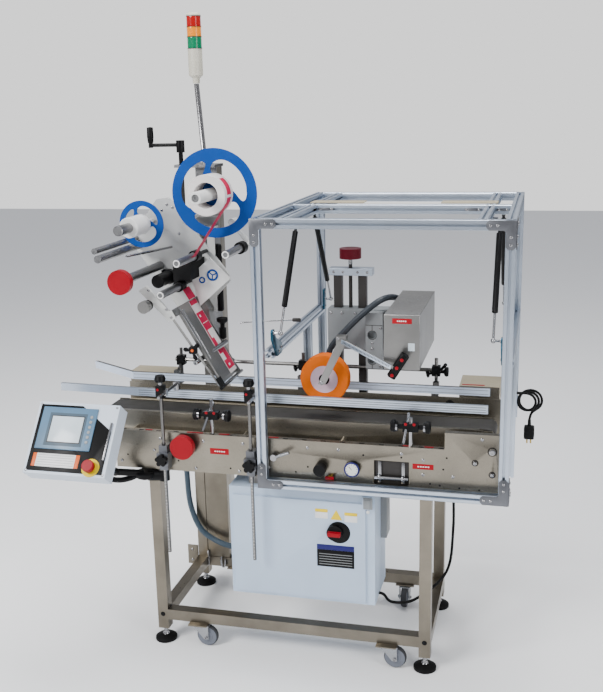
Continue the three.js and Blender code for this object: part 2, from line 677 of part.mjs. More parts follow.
// Web drive block, front side arm and the sloping peel table with its tip.
const SLOPE = Math.PI / 3;
const slopeX = Math.cos(SLOPE);
const slopeZ = -Math.sin(SLOPE);
const tableTop = [102, 1186];
const along = (distance, offset) => [
  tableTop[0] + slopeX * distance - slopeZ * offset,
  tableTop[1] + slopeZ * distance + slopeX * offset,
];
const tableParts = [
  plateXZ([along(0, -5), along(0, 5), along(282, 5), along(294, 0), along(282, -5)], 70, 250),
  plateXZ([along(0, -5), along(0, 26), along(60, 26), along(120, -5)], 240, HEAD_PLATE_Y - GAP),
  plateXZ([along(-108, -62), along(-108, -30), along(30, 2), along(30, -24)], 20, 30),
  plateXZ([along(0, -20), along(0, 4), along(26, 4), along(26, -20)], 20, 80),
  barY(250, 60, 284, 921, 6),
  plateXZ([along(268, -6), along(268, 6), along(302, 8), along(302, -6)], 60, 80),
  plateXZ([along(268, -6), along(268, 6), along(302, 8), along(302, -6)], 232, 250),
  bar([along(10, -14)[0], 30, along(10, -14)[1]], [243, 66, 927], 4),
  barY(34, -40, -16, 1206, 20),
  barY(34, -18, 22, 1206, 9),
];
add('peel_table', join(tableParts), 'satin_steel');

// ---------------------------------------------------------------- stack light

const lightBase = 1907;
const lightProfile = [[0, 0], [13, 0], [13, 18], [24, 26], [26, 26], [26, 120], [27, 122]];
for (const top of [160, 194, 230]) {
  lightProfile.push([27, top - 2], [25, top], [27, top + 2]);
}
lightProfile.push([26, 236], [20, 241], [0, 243]);
const lightBody = turned(lightProfile.map(([r, z]) => [r, z + lightBase]), lightX, LIGHT_Y, 20);
add('stack_light', lightBody, 'white_plastic');

// ---------------------------------------------------------------- press wheel station

const columnY = 330;
const postX = [592, 676];
const columnParts = [box(563, 712, columnY - 22, columnY + 22, 1262, 1286)];
for (const x of postX) {
  columnParts.push(box(x - 14, x + 14, columnY - 14, columnY + 14, 700, 1263));
}
columnParts.push(box(563, 712, columnY - 22, columnY + 22, 690, 702));
columnParts.push(box(563, 712, PLATE_BACK + 4 + GAP, columnY, 690, 760));
add('press_column', cut(join(columnParts), barZ(634, columnY, 1240, 1300, 8)), 'dark_steel');

const carriage = cut(
  join(
    box(560, 770, columnY - 34, columnY + 30, 1010, 1150),
    box(697, 755, columnY - 60, columnY - 33, 1010, 1146),
    box(697, 755, columnY - 68, columnY - 42, 954, 1146),
  ),
  postX.map((x) => box(x - 14.4, x + 14.4, columnY - 14.4, columnY + 14.4, 1000, 1160)),
  barZ(634, columnY, 1000, 1160, 7.4),
  barY(719, columnY - 70, columnY - 46, 1070, 15),
  barY(719, columnY - 70, columnY - 46, 983, 15),
);
add('press_carriage', carriage, 'head_paint');

add('press_height_knob', join(
  barZ(634, columnY, 1016, 1300, 6.5),
  barZ(634, columnY, 1298, 1322, 7),
  barZ(634, columnY, 1318, 1352, 37),
), 'red_plastic');

const pressHose = hose([
  [814, 380, 1158], [786, 344, 1184], [748, 262, 1190], [684, 240, 1140], [624, 240, 1078], [580, 246, 1024],
  [566, 252, 968],
], 11, 30, 8);
add('press_motor_box', join(
  box(801, 911, 0, 400, 1027, 1199),
  box(770 + GAP, 802, columnY - 50, columnY + 20, 1060, 1140),
  pressHose,
), 'stainless');

// Arm from the motor box's front clamp down to the axle of the press wheel.
const armTop = [655, 70, 1090];
add('press_arm', join(
  barY(WHEEL_X, 78, 182, WHEEL_Z, 9),
  plateXZ([
    [WHEEL_X - 12, WHEEL_Z - 6], [WHEEL_X + 12, WHEEL_Z - 6],
    [armTop[0] + 14, armTop[2]], [armTop[0] - 12, armTop[2] + 6],
  ], 78, 88),
  box(armTop[0] - 16, armTop[0] + 16, 60, 92, armTop[2] - 10, armTop[2] + 20),
  bar([armTop[0], 66, armTop[2] + 6], [838, -36, 1042], 6),
  bar([828, -30, 1012], [872, -30, 1084], 16, 4),
), 'satin_steel');

add('press_wheel', cut(
  join(
    barY(WHEEL_X, WHEEL_Y - 20, WHEEL_Y + 20, WHEEL_Z, WHEEL_R),
    barY(WHEEL_X, WHEEL_Y - 24, WHEEL_Y + 24, WHEEL_Z, 45),
  ),
  barY(WHEEL_X, WHEEL_Y - 30, WHEEL_Y + 30, WHEEL_Z, 9.4),
), 'orange_foam');

// ---------------------------------------------------------------- control panel on its arm

const panelTilt = 0.675;
const panelParts = cut(
  join(
    box(-142, 142, 0, 62, -122, 122),
    box(-128, 128, 60, 74, -108, 108),
  ),
  barY(88, -1, 10, -92, 12.8),
);
const panelTurn = [-THREE.MathUtils.radToDeg(panelTilt), 0, 0];
const placePanel = (body) => body.rotate(panelTurn).translate([-183, -173, 798]);
add('control_panel', join(
  placePanel(panelParts),
  bar([-76, -180, 715], [-76, -94, 662], 14),
  bar([-80, -98, 664], [-6, -34, 640], 12),
), 'cabinet_paint');
add('estop_button', placePanel(join(
  barY(88, -12, -GAP, -92, 12),
  barY(88, -28, -10, -92, 20),
)), 'red_plastic');
// ---------------------------------------------------------------- electrical cabinet

const CAB_LEFT = 283;
const CAB_RIGHT = 772;
const CAB_BOTTOM = 221;
const CAB_TOP = 606;
const conduit = hose([
  [-20, 400, 640], [-23, 400, 470], [-12, 400, 330], [30, 396, 240], [110, 385, 200],
  [200, 330, 215], [262, 240, 240], [290, 150, 250],
], 11, 36, 8);
const cabinet = cut(
  join(
    conduit,
    box(CAB_LEFT, CAB_RIGHT, 6, 206, CAB_BOTTOM, CAB_TOP),
    box(CAB_LEFT + 60, CAB_LEFT + 100, 30, 70, CAB_TOP - 1, 654.6),
    box(CAB_RIGHT - 100, CAB_RIGHT - 60, 30, 70, CAB_TOP - 1, 654.6),
    box(CAB_RIGHT - 1, CAB_RIGHT + 20, 110, 180, 412, 557),
  ),
  box(CAB_LEFT + 3, CAB_RIGHT - 3, 0, 203, CAB_BOTTOM + 3, CAB_TOP - 3),
);
add('cabinet_body', cabinet, 'cabinet_paint');
add('cabinet_door', join(
  box(CAB_LEFT, CAB_RIGHT, -2, 5.6, CAB_BOTTOM, CAB_TOP),
  box(CAB_LEFT + 14, CAB_RIGHT - 30, -10, -1, CAB_BOTTOM + 12, CAB_TOP - 28),
  box(CAB_RIGHT - 40, CAB_RIGHT - 8, -12, -1, CAB_TOP - 45, CAB_TOP - 4),
), 'cabinet_paint');
add('disconnect_switch', join(
  barY(643, -24, -10 - GAP, 475, 27),
  box(622, 664, -38, -22, 468, 482),
), 'black_plastic');

// ---------------------------------------------------------------- cables

add('power_cord', hose([
  [774, 60, 236], [790, 62, 230], [815, 90, 190], [880, 200, 150], [968, 360, 180], [985, 420, 320],
  [985, 430, 560], [1020, 470, 700], [1120, 620, 760], [1215, 780, 720], [1222, 800, 780],
], 5, 60, 8), 'black_plastic');

// Hanging loop of the cord: closed rings of round section, standing upright.
function cordRing(radius, section, x, y, z, turn) {
  const profile = [];
  for (let i = 0; i <= 8; i += 1) {
    const angle = (2 * Math.PI * i) / 8;
    profile.push(new THREE.Vector2(radius + section * Math.cos(angle), section * Math.sin(angle)));
  }
  const geometry = new THREE.LatheGeometry(profile, 24);
  geometry.rotateZ(turn);
  geometry.translate(x, y, z);
  return solid(geometry);
}
const coil = join(
  cordRing(42, 5.5, 1240, 812, 700, 0),
  cordRing(42, 5.5, 1246, 814, 694, 0.5),
  box(1192, 1204, 806, 820, 690, 724),
);
add('cord_coil', coil, 'black_plastic');
add('power_plug', join(
  bar([1234, 806, 645.8], [1236, 806, 600], 6),
  box(1216, 1256, 790, 822, 548, 602),
  box(1226, 1232, 803, 809, 530, 549),
  box(1240, 1246, 803, 809, 530, 549),
), 'black_plastic');

// ---------------------------------------------------------------- origin at the centre of the base

const CORD_NODES = ['power_cord', 'cord_coil', 'power_plug'];
const bounds = new THREE.Box3();
for (const node of machine.children) {
  node.geometry.computeBoundingBox();
  if (!CORD_NODES.includes(node.name)) bounds.union(node.geometry.boundingBox);
}
const centre = bounds.getCenter(new THREE.Vector3());
for (const node of machine.children) {
  node.geometry.translate(-centre.x, -centre.y, -bounds.min.z);
}

export default machine;
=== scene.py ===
import json
import math

import bmesh
import bpy
from mathutils import Matrix, Vector


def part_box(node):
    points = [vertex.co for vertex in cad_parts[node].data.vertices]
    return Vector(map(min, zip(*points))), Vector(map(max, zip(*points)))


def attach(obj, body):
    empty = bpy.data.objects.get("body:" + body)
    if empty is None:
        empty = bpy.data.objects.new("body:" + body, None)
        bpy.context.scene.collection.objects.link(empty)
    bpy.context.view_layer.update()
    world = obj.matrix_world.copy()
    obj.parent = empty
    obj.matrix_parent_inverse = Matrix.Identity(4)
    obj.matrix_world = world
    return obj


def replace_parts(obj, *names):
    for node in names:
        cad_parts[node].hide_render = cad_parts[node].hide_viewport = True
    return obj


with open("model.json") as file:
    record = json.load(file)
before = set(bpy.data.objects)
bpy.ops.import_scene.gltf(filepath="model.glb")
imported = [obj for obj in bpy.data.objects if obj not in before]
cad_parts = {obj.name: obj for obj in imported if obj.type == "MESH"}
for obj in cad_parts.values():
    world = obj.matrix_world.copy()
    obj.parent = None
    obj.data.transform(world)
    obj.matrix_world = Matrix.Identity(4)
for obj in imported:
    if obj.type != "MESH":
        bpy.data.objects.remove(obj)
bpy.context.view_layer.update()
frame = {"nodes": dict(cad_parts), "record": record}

# Lengths below are millimetres in the stand's own frame: X and Y from the outer corner of the
# front left leg, Z from the floor. at() turns them into the shared frame's metres.
GUARD_RIGHT, GUARD_BACK = 1189, 834
guard_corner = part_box("guard_frame")[1]
SHIFT = Vector((guard_corner[0] * 1000 - GUARD_RIGHT, guard_corner[1] * 1000 - GUARD_BACK, 0))
BASE = "machine_base"
TO_FRONT, TO_BACK, UP = (0, -1, 0), (0, 1, 0), (0, 0, 1)


def at(x, y, z):
    return (Vector((x, y, z)) + SHIFT) / 1000


# ------------------------------------------------------------------ camera and studio

def make_camera():
    yaw, pitch, roll = -0.250476, 0.243269, -0.022769
    cy, sy, cp, sp = math.cos(yaw), math.sin(yaw), math.cos(pitch), math.sin(pitch)
    forward = Vector((sy * cp, cy * cp, -sp))
    right = Vector((cy, -sy, 0))
    up = right.cross(forward)
    cr, sr = math.cos(roll), math.sin(roll)
    right, up = right * cr + up * sr, up * cr - right * sr
    data = bpy.data.cameras.new("camera")
    data.sensor_width = 36
    data.lens = 50.022
    data.clip_start, data.clip_end = 0.05, 100
    cam = bpy.data.objects.new("camera", data)
    bpy.context.collection.objects.link(cam)
    turn = Matrix((right, up, -forward)).transposed().to_4x4()
    cam.matrix_world = Matrix.Translation(at(1264.684, -2826.363, 1814.638)) @ turn
    bpy.context.scene.camera = cam


def area_light(name, place, target, size, power):
    data = bpy.data.lights.new(name, "AREA")
    data.shape = "RECTANGLE"
    data.size, data.size_y = size
    data.energy = power
    lamp = bpy.data.objects.new(name, data)
    bpy.context.collection.objects.link(lamp)
    lamp.location = place
    aim = Vector(target) - Vector(place)
    lamp.rotation_euler = aim.to_track_quat("-Z", "Y").to_euler()


def make_studio():
    world = bpy.data.worlds.new("studio")
    bpy.context.scene.world = world
    world.use_nodes = True
    tree = world.node_tree
    seen = tree.nodes["Background"]
    seen.inputs[0].default_value = (1, 1, 1, 1)
    seen.inputs[1].default_value = 1.3
    room = tree.nodes.new("ShaderNodeBackground")
    coord = tree.nodes.new("ShaderNodeTexCoord")
    split = tree.nodes.new("ShaderNodeSeparateXYZ")
    shade = tree.nodes.new("ShaderNodeValToRGB")
    tree.links.new(coord.outputs["Generated"], split.inputs[0])
    tree.links.new(split.outputs["Z"], shade.inputs["Fac"])
    shade.color_ramp.elements[0].position = 0.0
    shade.color_ramp.elements[0].color = (0.07, 0.068, 0.065, 1)
    shade.color_ramp.elements[1].position = 0.7
    shade.color_ramp.elements[1].color = (0.9, 0.93, 1.0, 1)
    for place, level in ((0.08, 0.55), (0.2, 1.0), (0.3, 0.22), (0.42, 0.3)):
        shade.color_ramp.elements.new(place).color = (level, level, level * 1.04, 1)
    tree.links.new(shade.outputs["Color"], room.inputs[0])
    room.inputs[1].default_value = 0.8
    rays = tree.nodes.new("ShaderNodeLightPath")
    mix = tree.nodes.new("ShaderNodeMixShader")
    tree.links.new(rays.outputs["Is Camera Ray"], mix.inputs[0])
    tree.links.new(room.outputs[0], mix.inputs[1])
    tree.links.new(seen.outputs[0], mix.inputs[2])
    tree.links.new(mix.outputs[0], tree.nodes["World Output"].inputs["Surface"])
    area_light("key", (-2.6, -3.4, 3.4), (0, 0, 0.9), (2.0, 1.6), 250)
    area_light("fill", (3.6, -2.4, 2.2), (0, 0, 0.9), (1.4, 2.0), 90)
    area_light("top", (0.2, 0.6, 4.6), (0, 0, 0.8), (2.4, 2.0), 170)
    bm = bmesh.new()
    bmesh.ops.create_grid(bm, x_segments=8, y_segments=8, size=14)
    mesh = bpy.data.meshes.new("floor")
    bm.to_mesh(mesh)
    floor = bpy.data.objects.new("floor", mesh)
    bpy.context.collection.objects.link(floor)
    floor.location.z = -0.0005
    mat = bpy.data.materials.new("floor_paper")
    mat.use_nodes = True
    shader = mat.node_tree.nodes["Principled BSDF"]
    shader.inputs["Base Color"].default_value = (0.93, 0.93, 0.93, 1)
    shader.inputs["Roughness"].default_value = 0.9
    mesh.materials.append(mat)


# ------------------------------------------------------------------ materials

class Nodes:
    """Short way to wire a procedural material in object coordinates."""

    def __init__(self, name, **sockets):
        self.mat = bpy.data.materials.new(name)
        self.mat.use_nodes = True
        self.tree = self.mat.node_tree
        self.shader = self.tree.nodes["Principled BSDF"]
        for key, value in sockets.items():
            self.shader.inputs[key.replace("_", " ")].default_value = value
        self.coord = self.tree.nodes.new("ShaderNodeTexCoord").outputs["Object"]

    def noise(self, scale, detail=3.0, stretch=(1, 1, 1)):
        mapping = self.tree.nodes.new("ShaderNodeMapping")
        mapping.inputs["Scale"].default_value = stretch
        self.tree.links.new(self.coord, mapping.inputs["Vector"])
        tex = self.tree.nodes.new("ShaderNodeTexNoise")
        tex.inputs["Scale"].default_value = scale
        tex.inputs["Detail"].default_value = detail
        self.tree.links.new(mapping.outputs["Vector"], tex.inputs["Vector"])
        return tex.outputs["Fac"]

    def ramp(self, fac, low, high, start=0.3, end=0.7):
        node = self.tree.nodes.new("ShaderNodeValToRGB")
        node.color_ramp.elements[0].position = start
        node.color_ramp.elements[1].position = end
        node.color_ramp.elements[0].color = (*low, 1)
        node.color_ramp.elements[1].color = (*high, 1)
        self.tree.links.new(fac, node.inputs["Fac"])
        return node.outputs["Color"]

    def spread(self, fac, low, high):
        node = self.tree.nodes.new("ShaderNodeMapRange")
        node.inputs["From Min"].default_value = 0.25
        node.inputs["From Max"].default_value = 0.75
        node.inputs["To Min"].default_value = low
        node.inputs["To Max"].default_value = high
        self.tree.links.new(fac, node.inputs["Value"])
        return node.outputs["Result"]

    def bump(self, height, strength, distance=0.0004):
        node = self.tree.nodes.new("ShaderNodeBump")
        node.inputs["Strength"].default_value = strength
        node.inputs["Distance"].default_value = distance
        self.tree.links.new(height, node.inputs["Height"])
        self.tree.links.new(node.outputs["Normal"], self.shader.inputs["Normal"])

    def drive(self, output, socket):
        self.tree.links.new(output, self.shader.inputs[socket])


def deep(colour):
    """Darker, richer form of a colour: the soft studio lifts and pales everything it lights."""
    grey = sum(colour) / 3
    dim = 0.92 if grey > 0.58 else 0.66
    return tuple(max(0.0015, (grey + (c - grey) * 1.4) * dim) for c in colour)


def brushed(name, colour, rough, grain=(1, 1, 30), contrast=0.16, metallic=1.0):
    """Metal with a fine grain drawn across one direction and faint blotches of handling."""
    n = Nodes(name, Metallic=metallic)
    colour = deep(colour)
    low = tuple(c * (1 - contrast) for c in colour)
    high = tuple(min(1, c * (1 + contrast)) for c in colour)
    fine = n.noise(90, 4, grain)
    n.drive(n.ramp(n.noise(7, 4), low, high), "Base Color")
    n.drive(n.spread(fine, rough - 0.08, rough + 0.1), "Roughness")
    n.bump(fine, 0.12, 0.0002)
    return n.mat


def plastic(name, colour, rough, grain=420, depth=0.1, wear=0.08, vivid=False):
    """Moulded plastic or powder coat: fine grain, slight tone and gloss variation."""
    n = Nodes(name, Specular_IOR_Level=0.16 if vivid else 0.35)
    if not vivid:
        colour = deep(colour)
    low = tuple(c * (1 - wear) for c in colour)
    high = tuple(min(1, c * (1 + wear)) for c in colour)
    n.drive(n.ramp(n.noise(9, 3), low, high), "Base Color")
    n.drive(n.spread(n.noise(26, 3), rough - 0.06, rough + 0.06), "Roughness")
    n.bump(n.noise(grain, 2), depth, 0.0003)
    return n.mat


def glowing(name, colour):
    """Ribbed translucent lens that carries a little of its own light."""
    mat = plastic(name, colour, 0.22, 160, 0.25, 0.04, vivid=True)
    shader = mat.node_tree.nodes["Principled BSDF"]
    shader.inputs["Emission Color"].default_value = (*colour, 1)
    shader.inputs["Emission Strength"].default_value = 0.25
    shader.inputs["Coat Weight"].default_value = 0.5
    return mat


# Colour, roughness, then grain, contrast and how metallic it is.
METALS = {
    "stainless": ((0.30, 0.275, 0.235), 0.34, (1, 1, 28), 0.22),
    "stainless_plate": ((0.36, 0.335, 0.29), 0.30, (26, 1, 1), 0.14),
    "box_steel": ((0.40, 0.395, 0.385), 0.33, (1, 1, 26)),
    "aluminium": ((0.60, 0.65, 0.72), 0.34, (1, 1, 12), 0.06),
    "satin_steel": ((0.40, 0.40, 0.405), 0.32, (1, 20, 1)),
    "bright_steel": ((0.50, 0.50, 0.51), 0.2, (1, 14, 1), 0.1),
    "rod_steel": ((0.24, 0.235, 0.23), 0.3, (1, 14, 1), 0.12),
    "zinc": ((0.55, 0.56, 0.58), 0.28, (6, 6, 6), 0.18),
    "dark_steel": ((0.062, 0.058, 0.056), 0.46, (1, 1, 30), 0.16, 0.6),
    "corner_steel": ((0.21, 0.215, 0.23), 0.4, (4, 4, 4), 0.16, 0.8),
    "brass": ((0.62, 0.47, 0.20), 0.3),
    "bracket_blue": ((0.10, 0.20, 0.28), 0.3, (1, 1, 30), 0.25),
}
# Colour, roughness, then grain, its depth and wear.
PLASTICS = {
    "grey_rubber": ((0.055, 0.057, 0.062), 0.65, 300, 0.2),
    "wheel_grey": ((0.22, 0.235, 0.27), 0.5),
    "belt": ((0.055, 0.053, 0.05), 0.62, 800, 0.35, 0.15),
    "white_plastic": ((0.78, 0.78, 0.77), 0.38),
    "rail_white": ((0.62, 0.68, 0.78), 0.3),
    "cream": ((0.52, 0.47, 0.37), 0.45),
    "lamp_body": ((0.62, 0.60, 0.53), 0.4),
    "label_paper": ((0.72, 0.69, 0.68), 0.55, 350, 0.06),
    "cabinet_paint": ((0.52, 0.60, 0.71), 0.44, 520, 0.16, 0.03),
    "press_paint": ((0.36, 0.375, 0.385), 0.45, 400, 0.1),
    "hose_grey": ((0.045, 0.052, 0.062), 0.5, 250, 0.2),
    "conduit": ((0.10, 0.135, 0.17), 0.5, 250, 0.2),
    "bezel_blue": ((0.17, 0.26, 0.36), 0.35),
    "screen": ((0.62, 0.68, 0.72), 0.18, 200, 0.02),
    "orange_label": ((0.78, 0.20, 0.05), 0.45),
    "navy": ((0.012, 0.014, 0.12), 0.4),
}
# The same for plastics that keep their full colour.
VIVID_PLASTICS = {
    "black_plastic": ((0.0022, 0.0022, 0.0026), 0.45),
    "black_rubber": ((0.0022, 0.0022, 0.0022), 0.6, 300, 0.2),
    "blue_plastic": ((0.0008, 0.052, 0.27), 0.38, 500, 0.05, 0.06),
    "red_plastic": ((0.26, 0.0016, 0.009), 0.36, 260, 0.25),
    "maroon": ((0.095, 0.0022, 0.010), 0.38, 260, 0.3),
    "orange_foam": ((0.66, 0.125, 0.003), 0.85, 650, 0.6, 0.14),
    "lilac": ((0.60, 0.44, 0.52), 0.5),
    "label_pink": ((0.45, 0.008, 0.055), 0.5, 350, 0.06, 0.2),
    "label_red": ((0.30, 0.0022, 0.010), 0.4, 350, 0.05),
    "panel_paint": ((0.58, 0.65, 0.74), 0.42, 500, 0.12, 0.03),
    "head_paint": ((0.53, 0.535, 0.52), 0.42, 400, 0.08),
    "yellow": ((0.72, 0.52, 0.002), 0.4),
}
LENSES = {
    "lens_green": (0.001, 0.17, 0.075),
    "lens_amber": (0.75, 0.23, 0.002),
    "lens_red": (0.36, 0.003, 0.003),
}
MATERIALS = {name: brushed(name, *spec) for name, spec in METALS.items()}
MATERIALS |= {name: plastic(name, *spec) for name, spec in PLASTICS.items()}
MATERIALS |= {name: plastic(name, *spec, vivid=True) for name, spec in VIVID_PLASTICS.items()}
MATERIALS |= {name: glowing(name, colour) for name, colour in LENSES.items()}


# ------------------------------------------------------------------ mesh helpers

def body_of_node(node):
    for name, members in frame["record"]["behaviour"]["bodies"].items():
        if node in members:
            return name
    return "root"


class Shape:
    """Mesh parts in millimetres of the stand's frame, gathered into one piece."""

    def __init__(self):
        self.bm = bmesh.new()

    def _round(self, made, width, segments=2):
        """Rounds the sharp edges of the vertices just made."""
        if width > 0:
            edges = list(dict.fromkeys(e for v in made for e in v.link_edges if self._sharp(e)))
            bmesh.ops.bevel(self.bm, geom=edges, offset=width, segments=segments,
                            affect="EDGES", profile=0.5, clamp_overlap=True)

    @staticmethod
    def _sharp(edge):
        return len(edge.link_faces) == 2 and edge.calc_face_angle(0) > 0.6

    def box(self, x0, x1, y0, y1, z0, z1, r=0.8, segments=2):
        m = Matrix.Translation(((x0 + x1) / 2, (y0 + y1) / 2, (z0 + z1) / 2))
        m = m @ Matrix.Diagonal((x1 - x0, y1 - y0, z1 - z0, 1))
        made = bmesh.ops.create_cube(self.bm, size=1, matrix=m)["verts"]
        self._round(made, min(r, (x1 - x0) / 2.3, (y1 - y0) / 2.3, (z1 - z0) / 2.3), segments)
        return self

    def bar(self, a, b, radius, r=0.6, sides=28, tip=None):
        a, b = Vector(a), Vector(b)
        m = Matrix.Translation((a + b) / 2) @ (b - a).to_track_quat("Z", "Y").to_matrix().to_4x4()
        made = bmesh.ops.create_cone(
            self.bm, cap_ends=True, segments=sides, radius1=radius,
            radius2=radius if tip is None else tip, depth=(b - a).length, matrix=m)["verts"]
        self._round(made, min(r, radius / 2.5))
        return self

    def lathe(self, profile, origin, axis, sides=48):
        """Solid of revolution: [radius, distance along axis] points from axis to axis."""
        m = Matrix.Translation(Vector(origin)) @ Vector(axis).to_track_quat("Z", "Y").to_matrix().to_4x4()
        rings = []
        for radius, height in profile:
            if radius < 1e-6:
                rings.append([self.bm.verts.new(m @ Vector((0, 0, height)))])
                continue
            rings.append([self.bm.verts.new(m @ Vector((
                radius * math.cos(2 * math.pi * i / sides),
                radius * math.sin(2 * math.pi * i / sides), height))) for i in range(sides)])
        faces = []
        for low, high in zip(rings, rings[1:]):
            for i in range(sides):
                k = (i + 1) % sides
                if len(low) == 1:
                    faces.append(self.bm.faces.new((low[0], high[k], high[i])))
                elif len(high) == 1:
                    faces.append(self.bm.faces.new((low[i], low[k], high[0])))
                else:
                    faces.append(self.bm.faces.new((low[i], low[k], high[k], high[i])))
        bmesh.ops.recalc_face_normals(self.bm, faces=faces)
        return self

    def ring(self, origin, axis, major, minor, sides=40, section=10):
        m = Matrix.Translation(Vector(origin)) @ Vector(axis).to_track_quat("Z", "Y").to_matrix().to_4x4()
        loops = []
        for i in range(sides):
            a = 2 * math.pi * i / sides
            loops.append([self.bm.verts.new(m @ Vector((
                (major + minor * math.cos(2 * math.pi * k / section)) * math.cos(a),
                (major + minor * math.cos(2 * math.pi * k / section)) * math.sin(a),
                minor * math.sin(2 * math.pi * k / section)))) for k in range(section)])
        faces = []
        for i in range(sides):
            low, high = loops[i], loops[(i + 1) % sides]
            for k in range(section):
                n = (k + 1) % section
                faces.append(self.bm.faces.new((low[k], high[k], high[n], low[n])))
        bmesh.ops.recalc_face_normals(self.bm, faces=faces)
        return self

    def tube(self, points, radius, sides=12, smooth=6):
        pts = [Vector(p) for p in points]
        if smooth:
            pts = spline(pts, smooth)
        rings, side = [], None
        for i, p in enumerate(pts):
            along = (pts[min(i + 1, len(pts) - 1)] - pts[max(i - 1, 0)]).normalized()
            if side is None:
                side = along.orthogonal().normalized()
            side = (side - along * side.dot(along)).normalized()
            other = along.cross(side)
            rings.append([self.bm.verts.new(p + radius * (
                side * math.cos(2 * math.pi * k / sides) + other * math.sin(2 * math.pi * k / sides)))
                for k in range(sides)])
        faces = [self.bm.faces.new(rings[0][::-1]), self.bm.faces.new(rings[-1])]
        for low, high in zip(rings, rings[1:]):
            for k in range(sides):
                n = (k + 1) % sides
                faces.append(self.bm.faces.new((low[k], low[n], high[n], high[k])))
        bmesh.ops.recalc_face_normals(self.bm, faces=faces)
        return self

    def plate(self, outline, place, thick, r=0.6):
        """Flat plate from a closed outline of (u, v) points. place(u, v, w) gives the 3D point."""
        low = [self.bm.verts.new(Vector(place(u, v, 0))) for u, v in outline]
        high = [self.bm.verts.new(Vector(place(u, v, thick))) for u, v in outline]
        faces = [self.bm.faces.new(low[::-1]), self.bm.faces.new(high)]
        for i in range(len(outline)):
            k = (i + 1) % len(outline)
            faces.append(self.bm.faces.new((low[i], low[k], high[k], high[i])))
        bmesh.ops.recalc_face_normals(self.bm, faces=faces)
        self._round(low + high, min(r, abs(thick) / 2.5))
        return self

    def screw(self, p, axis, radius=4.5, height=3.2, socket=0.5):
        """Button head screw with a round recessed socket."""
        s = radius * socket
        return self.lathe([
            (0, height * 0.45), (s, height * 0.45), (s, height), (radius * 0.72, height * 0.94),
            (radius * 0.95, height * 0.6), (radius, height * 0.2), (radius, -0.3), (0, -0.3),
        ], p, axis, 16)

    def make(self, name, body, material, slot=None):
        mesh = bpy.data.meshes.new(name)
        self.bm.transform(Matrix.Diagonal((0.001, 0.001, 0.001, 1)) @ Matrix.Translation(SHIFT))
        self.bm.to_mesh(mesh)
        self.bm.free()
        mesh.polygons.foreach_set("use_smooth", [True] * len(mesh.polygons))
        mesh.set_sharp_from_angle(angle=math.radians(35))
        mesh.materials.append(MATERIALS[material])
        piece = bpy.data.objects.new(name, mesh)
        bpy.context.collection.objects.link(piece)
        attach(piece, body)
        return piece


def spline(points, steps):
    """Catmull-Rom curve through the points."""
    out = []
    ends = [points[0] * 2 - points[1]] + points + [points[-1] * 2 - points[-2]]
    for a, b, c, d in zip(ends, ends[1:], ends[2:], ends[3:]):
        for i in range(steps):
            t = i / steps
            out.append(0.5 * ((2 * b) + (c - a) * t + (2 * a - 5 * b + 4 * c - d) * t * t
                              + (3 * b - a - 3 * c + d) * t ** 3))
    return out + [points[-1]]


def soften(node, material, width):
    """A rounded-edge copy of a CAD node, which then stands for that node."""
    source = frame["nodes"][node]
    mesh = source.data.copy()
    bm = bmesh.new()
    bm.from_mesh(mesh)
    bmesh.ops.remove_doubles(bm, verts=bm.verts, dist=1e-6)
    bmesh.ops.dissolve_limit(bm, angle_limit=math.radians(1), verts=bm.verts, edges=bm.edges)
    bm.to_mesh(mesh)
    bm.free()
    mesh.materials.clear()
    mesh.materials.append(MATERIALS[material])
    piece = bpy.data.objects.new(f"{node}_skin", mesh)
    bpy.context.collection.objects.link(piece)
    bevel = piece.modifiers.new("edges", "BEVEL")
    bevel.width = width / 1000
    bevel.segments = 2
    bevel.limit_method = "ANGLE"
    bevel.angle_limit = math.radians(30)
    bevel.use_clamp_overlap = True
    mesh.polygons.foreach_set("use_smooth", [True] * len(mesh.polygons))
    mesh.set_sharp_from_angle(angle=math.radians(42))
    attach(piece, body_of_node(node))
    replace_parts(piece, node)
    return piece


def paint(piece, rules):
    """Gives the faces that pass a rule their own material. Rules see the face centre in millimetres."""
    mesh = piece.data
    for material, test in rules:
        mesh.materials.append(MATERIALS[material])
        index = len(mesh.materials) - 1
        for face in mesh.polygons:
            c = face.center * 1000 - SHIFT
            if face.material_index == 0 and test(c, face.normal):
                face.material_index = index


def knurl(count, radius, thick, ends):
    """Fine ribs round a knob. ends(u, w) gives both ends of the rib at that offset from the middle."""
    shape = Shape()
    for k in range(count):
        a = 2 * math.pi * k / count
        shape.bar(*ends(radius * math.cos(a), radius * math.sin(a)), thick, 0, 6)
    return shape


def near(c, x, z, reach):
    return math.hypot(c.x - x, c.z - z) < reach


# ------------------------------------------------------------------ guard of slotted extrusion

PROFILE = 30
GUARD_LEFT, GUARD_FRONT, GUARD_BOTTOM, GUARD_TOP = 405, -70, 634, 1495
BEAM_Z = GUARD_TOP - PROFILE
SIDE_Z = 1030
INNER_ARMS = (487, 1078)
OUTER_ARMS = (GUARD_LEFT, GUARD_RIGHT - PROFILE)


def slot_section():
    """Outline of a 30 mm extrusion: an 8 mm slot with lips on each of the four sides."""
    h = PROFILE / 2
    quarter = [(4.1, h), (4.1, h - 2.2), (8.2, h - 2.2), (8.2, h - 4.6), (5.0, h - 7.8), (5.0, 5.0)]
    outline = []
    for k in range(4):
        c, s = round(math.cos(k * math.pi / 2)), round(math.sin(k * math.pi / 2))
        side = [(-u, v) for u, v in quarter] + [(u, v) for u, v in reversed(quarter)]
        side = [(-h + 1.6, h)] + side + [(h - 1.6, h), (h, h - 1.6)]
        outline += [(u * c + v * s, -u * s + v * c) for u, v in side]
    return outline


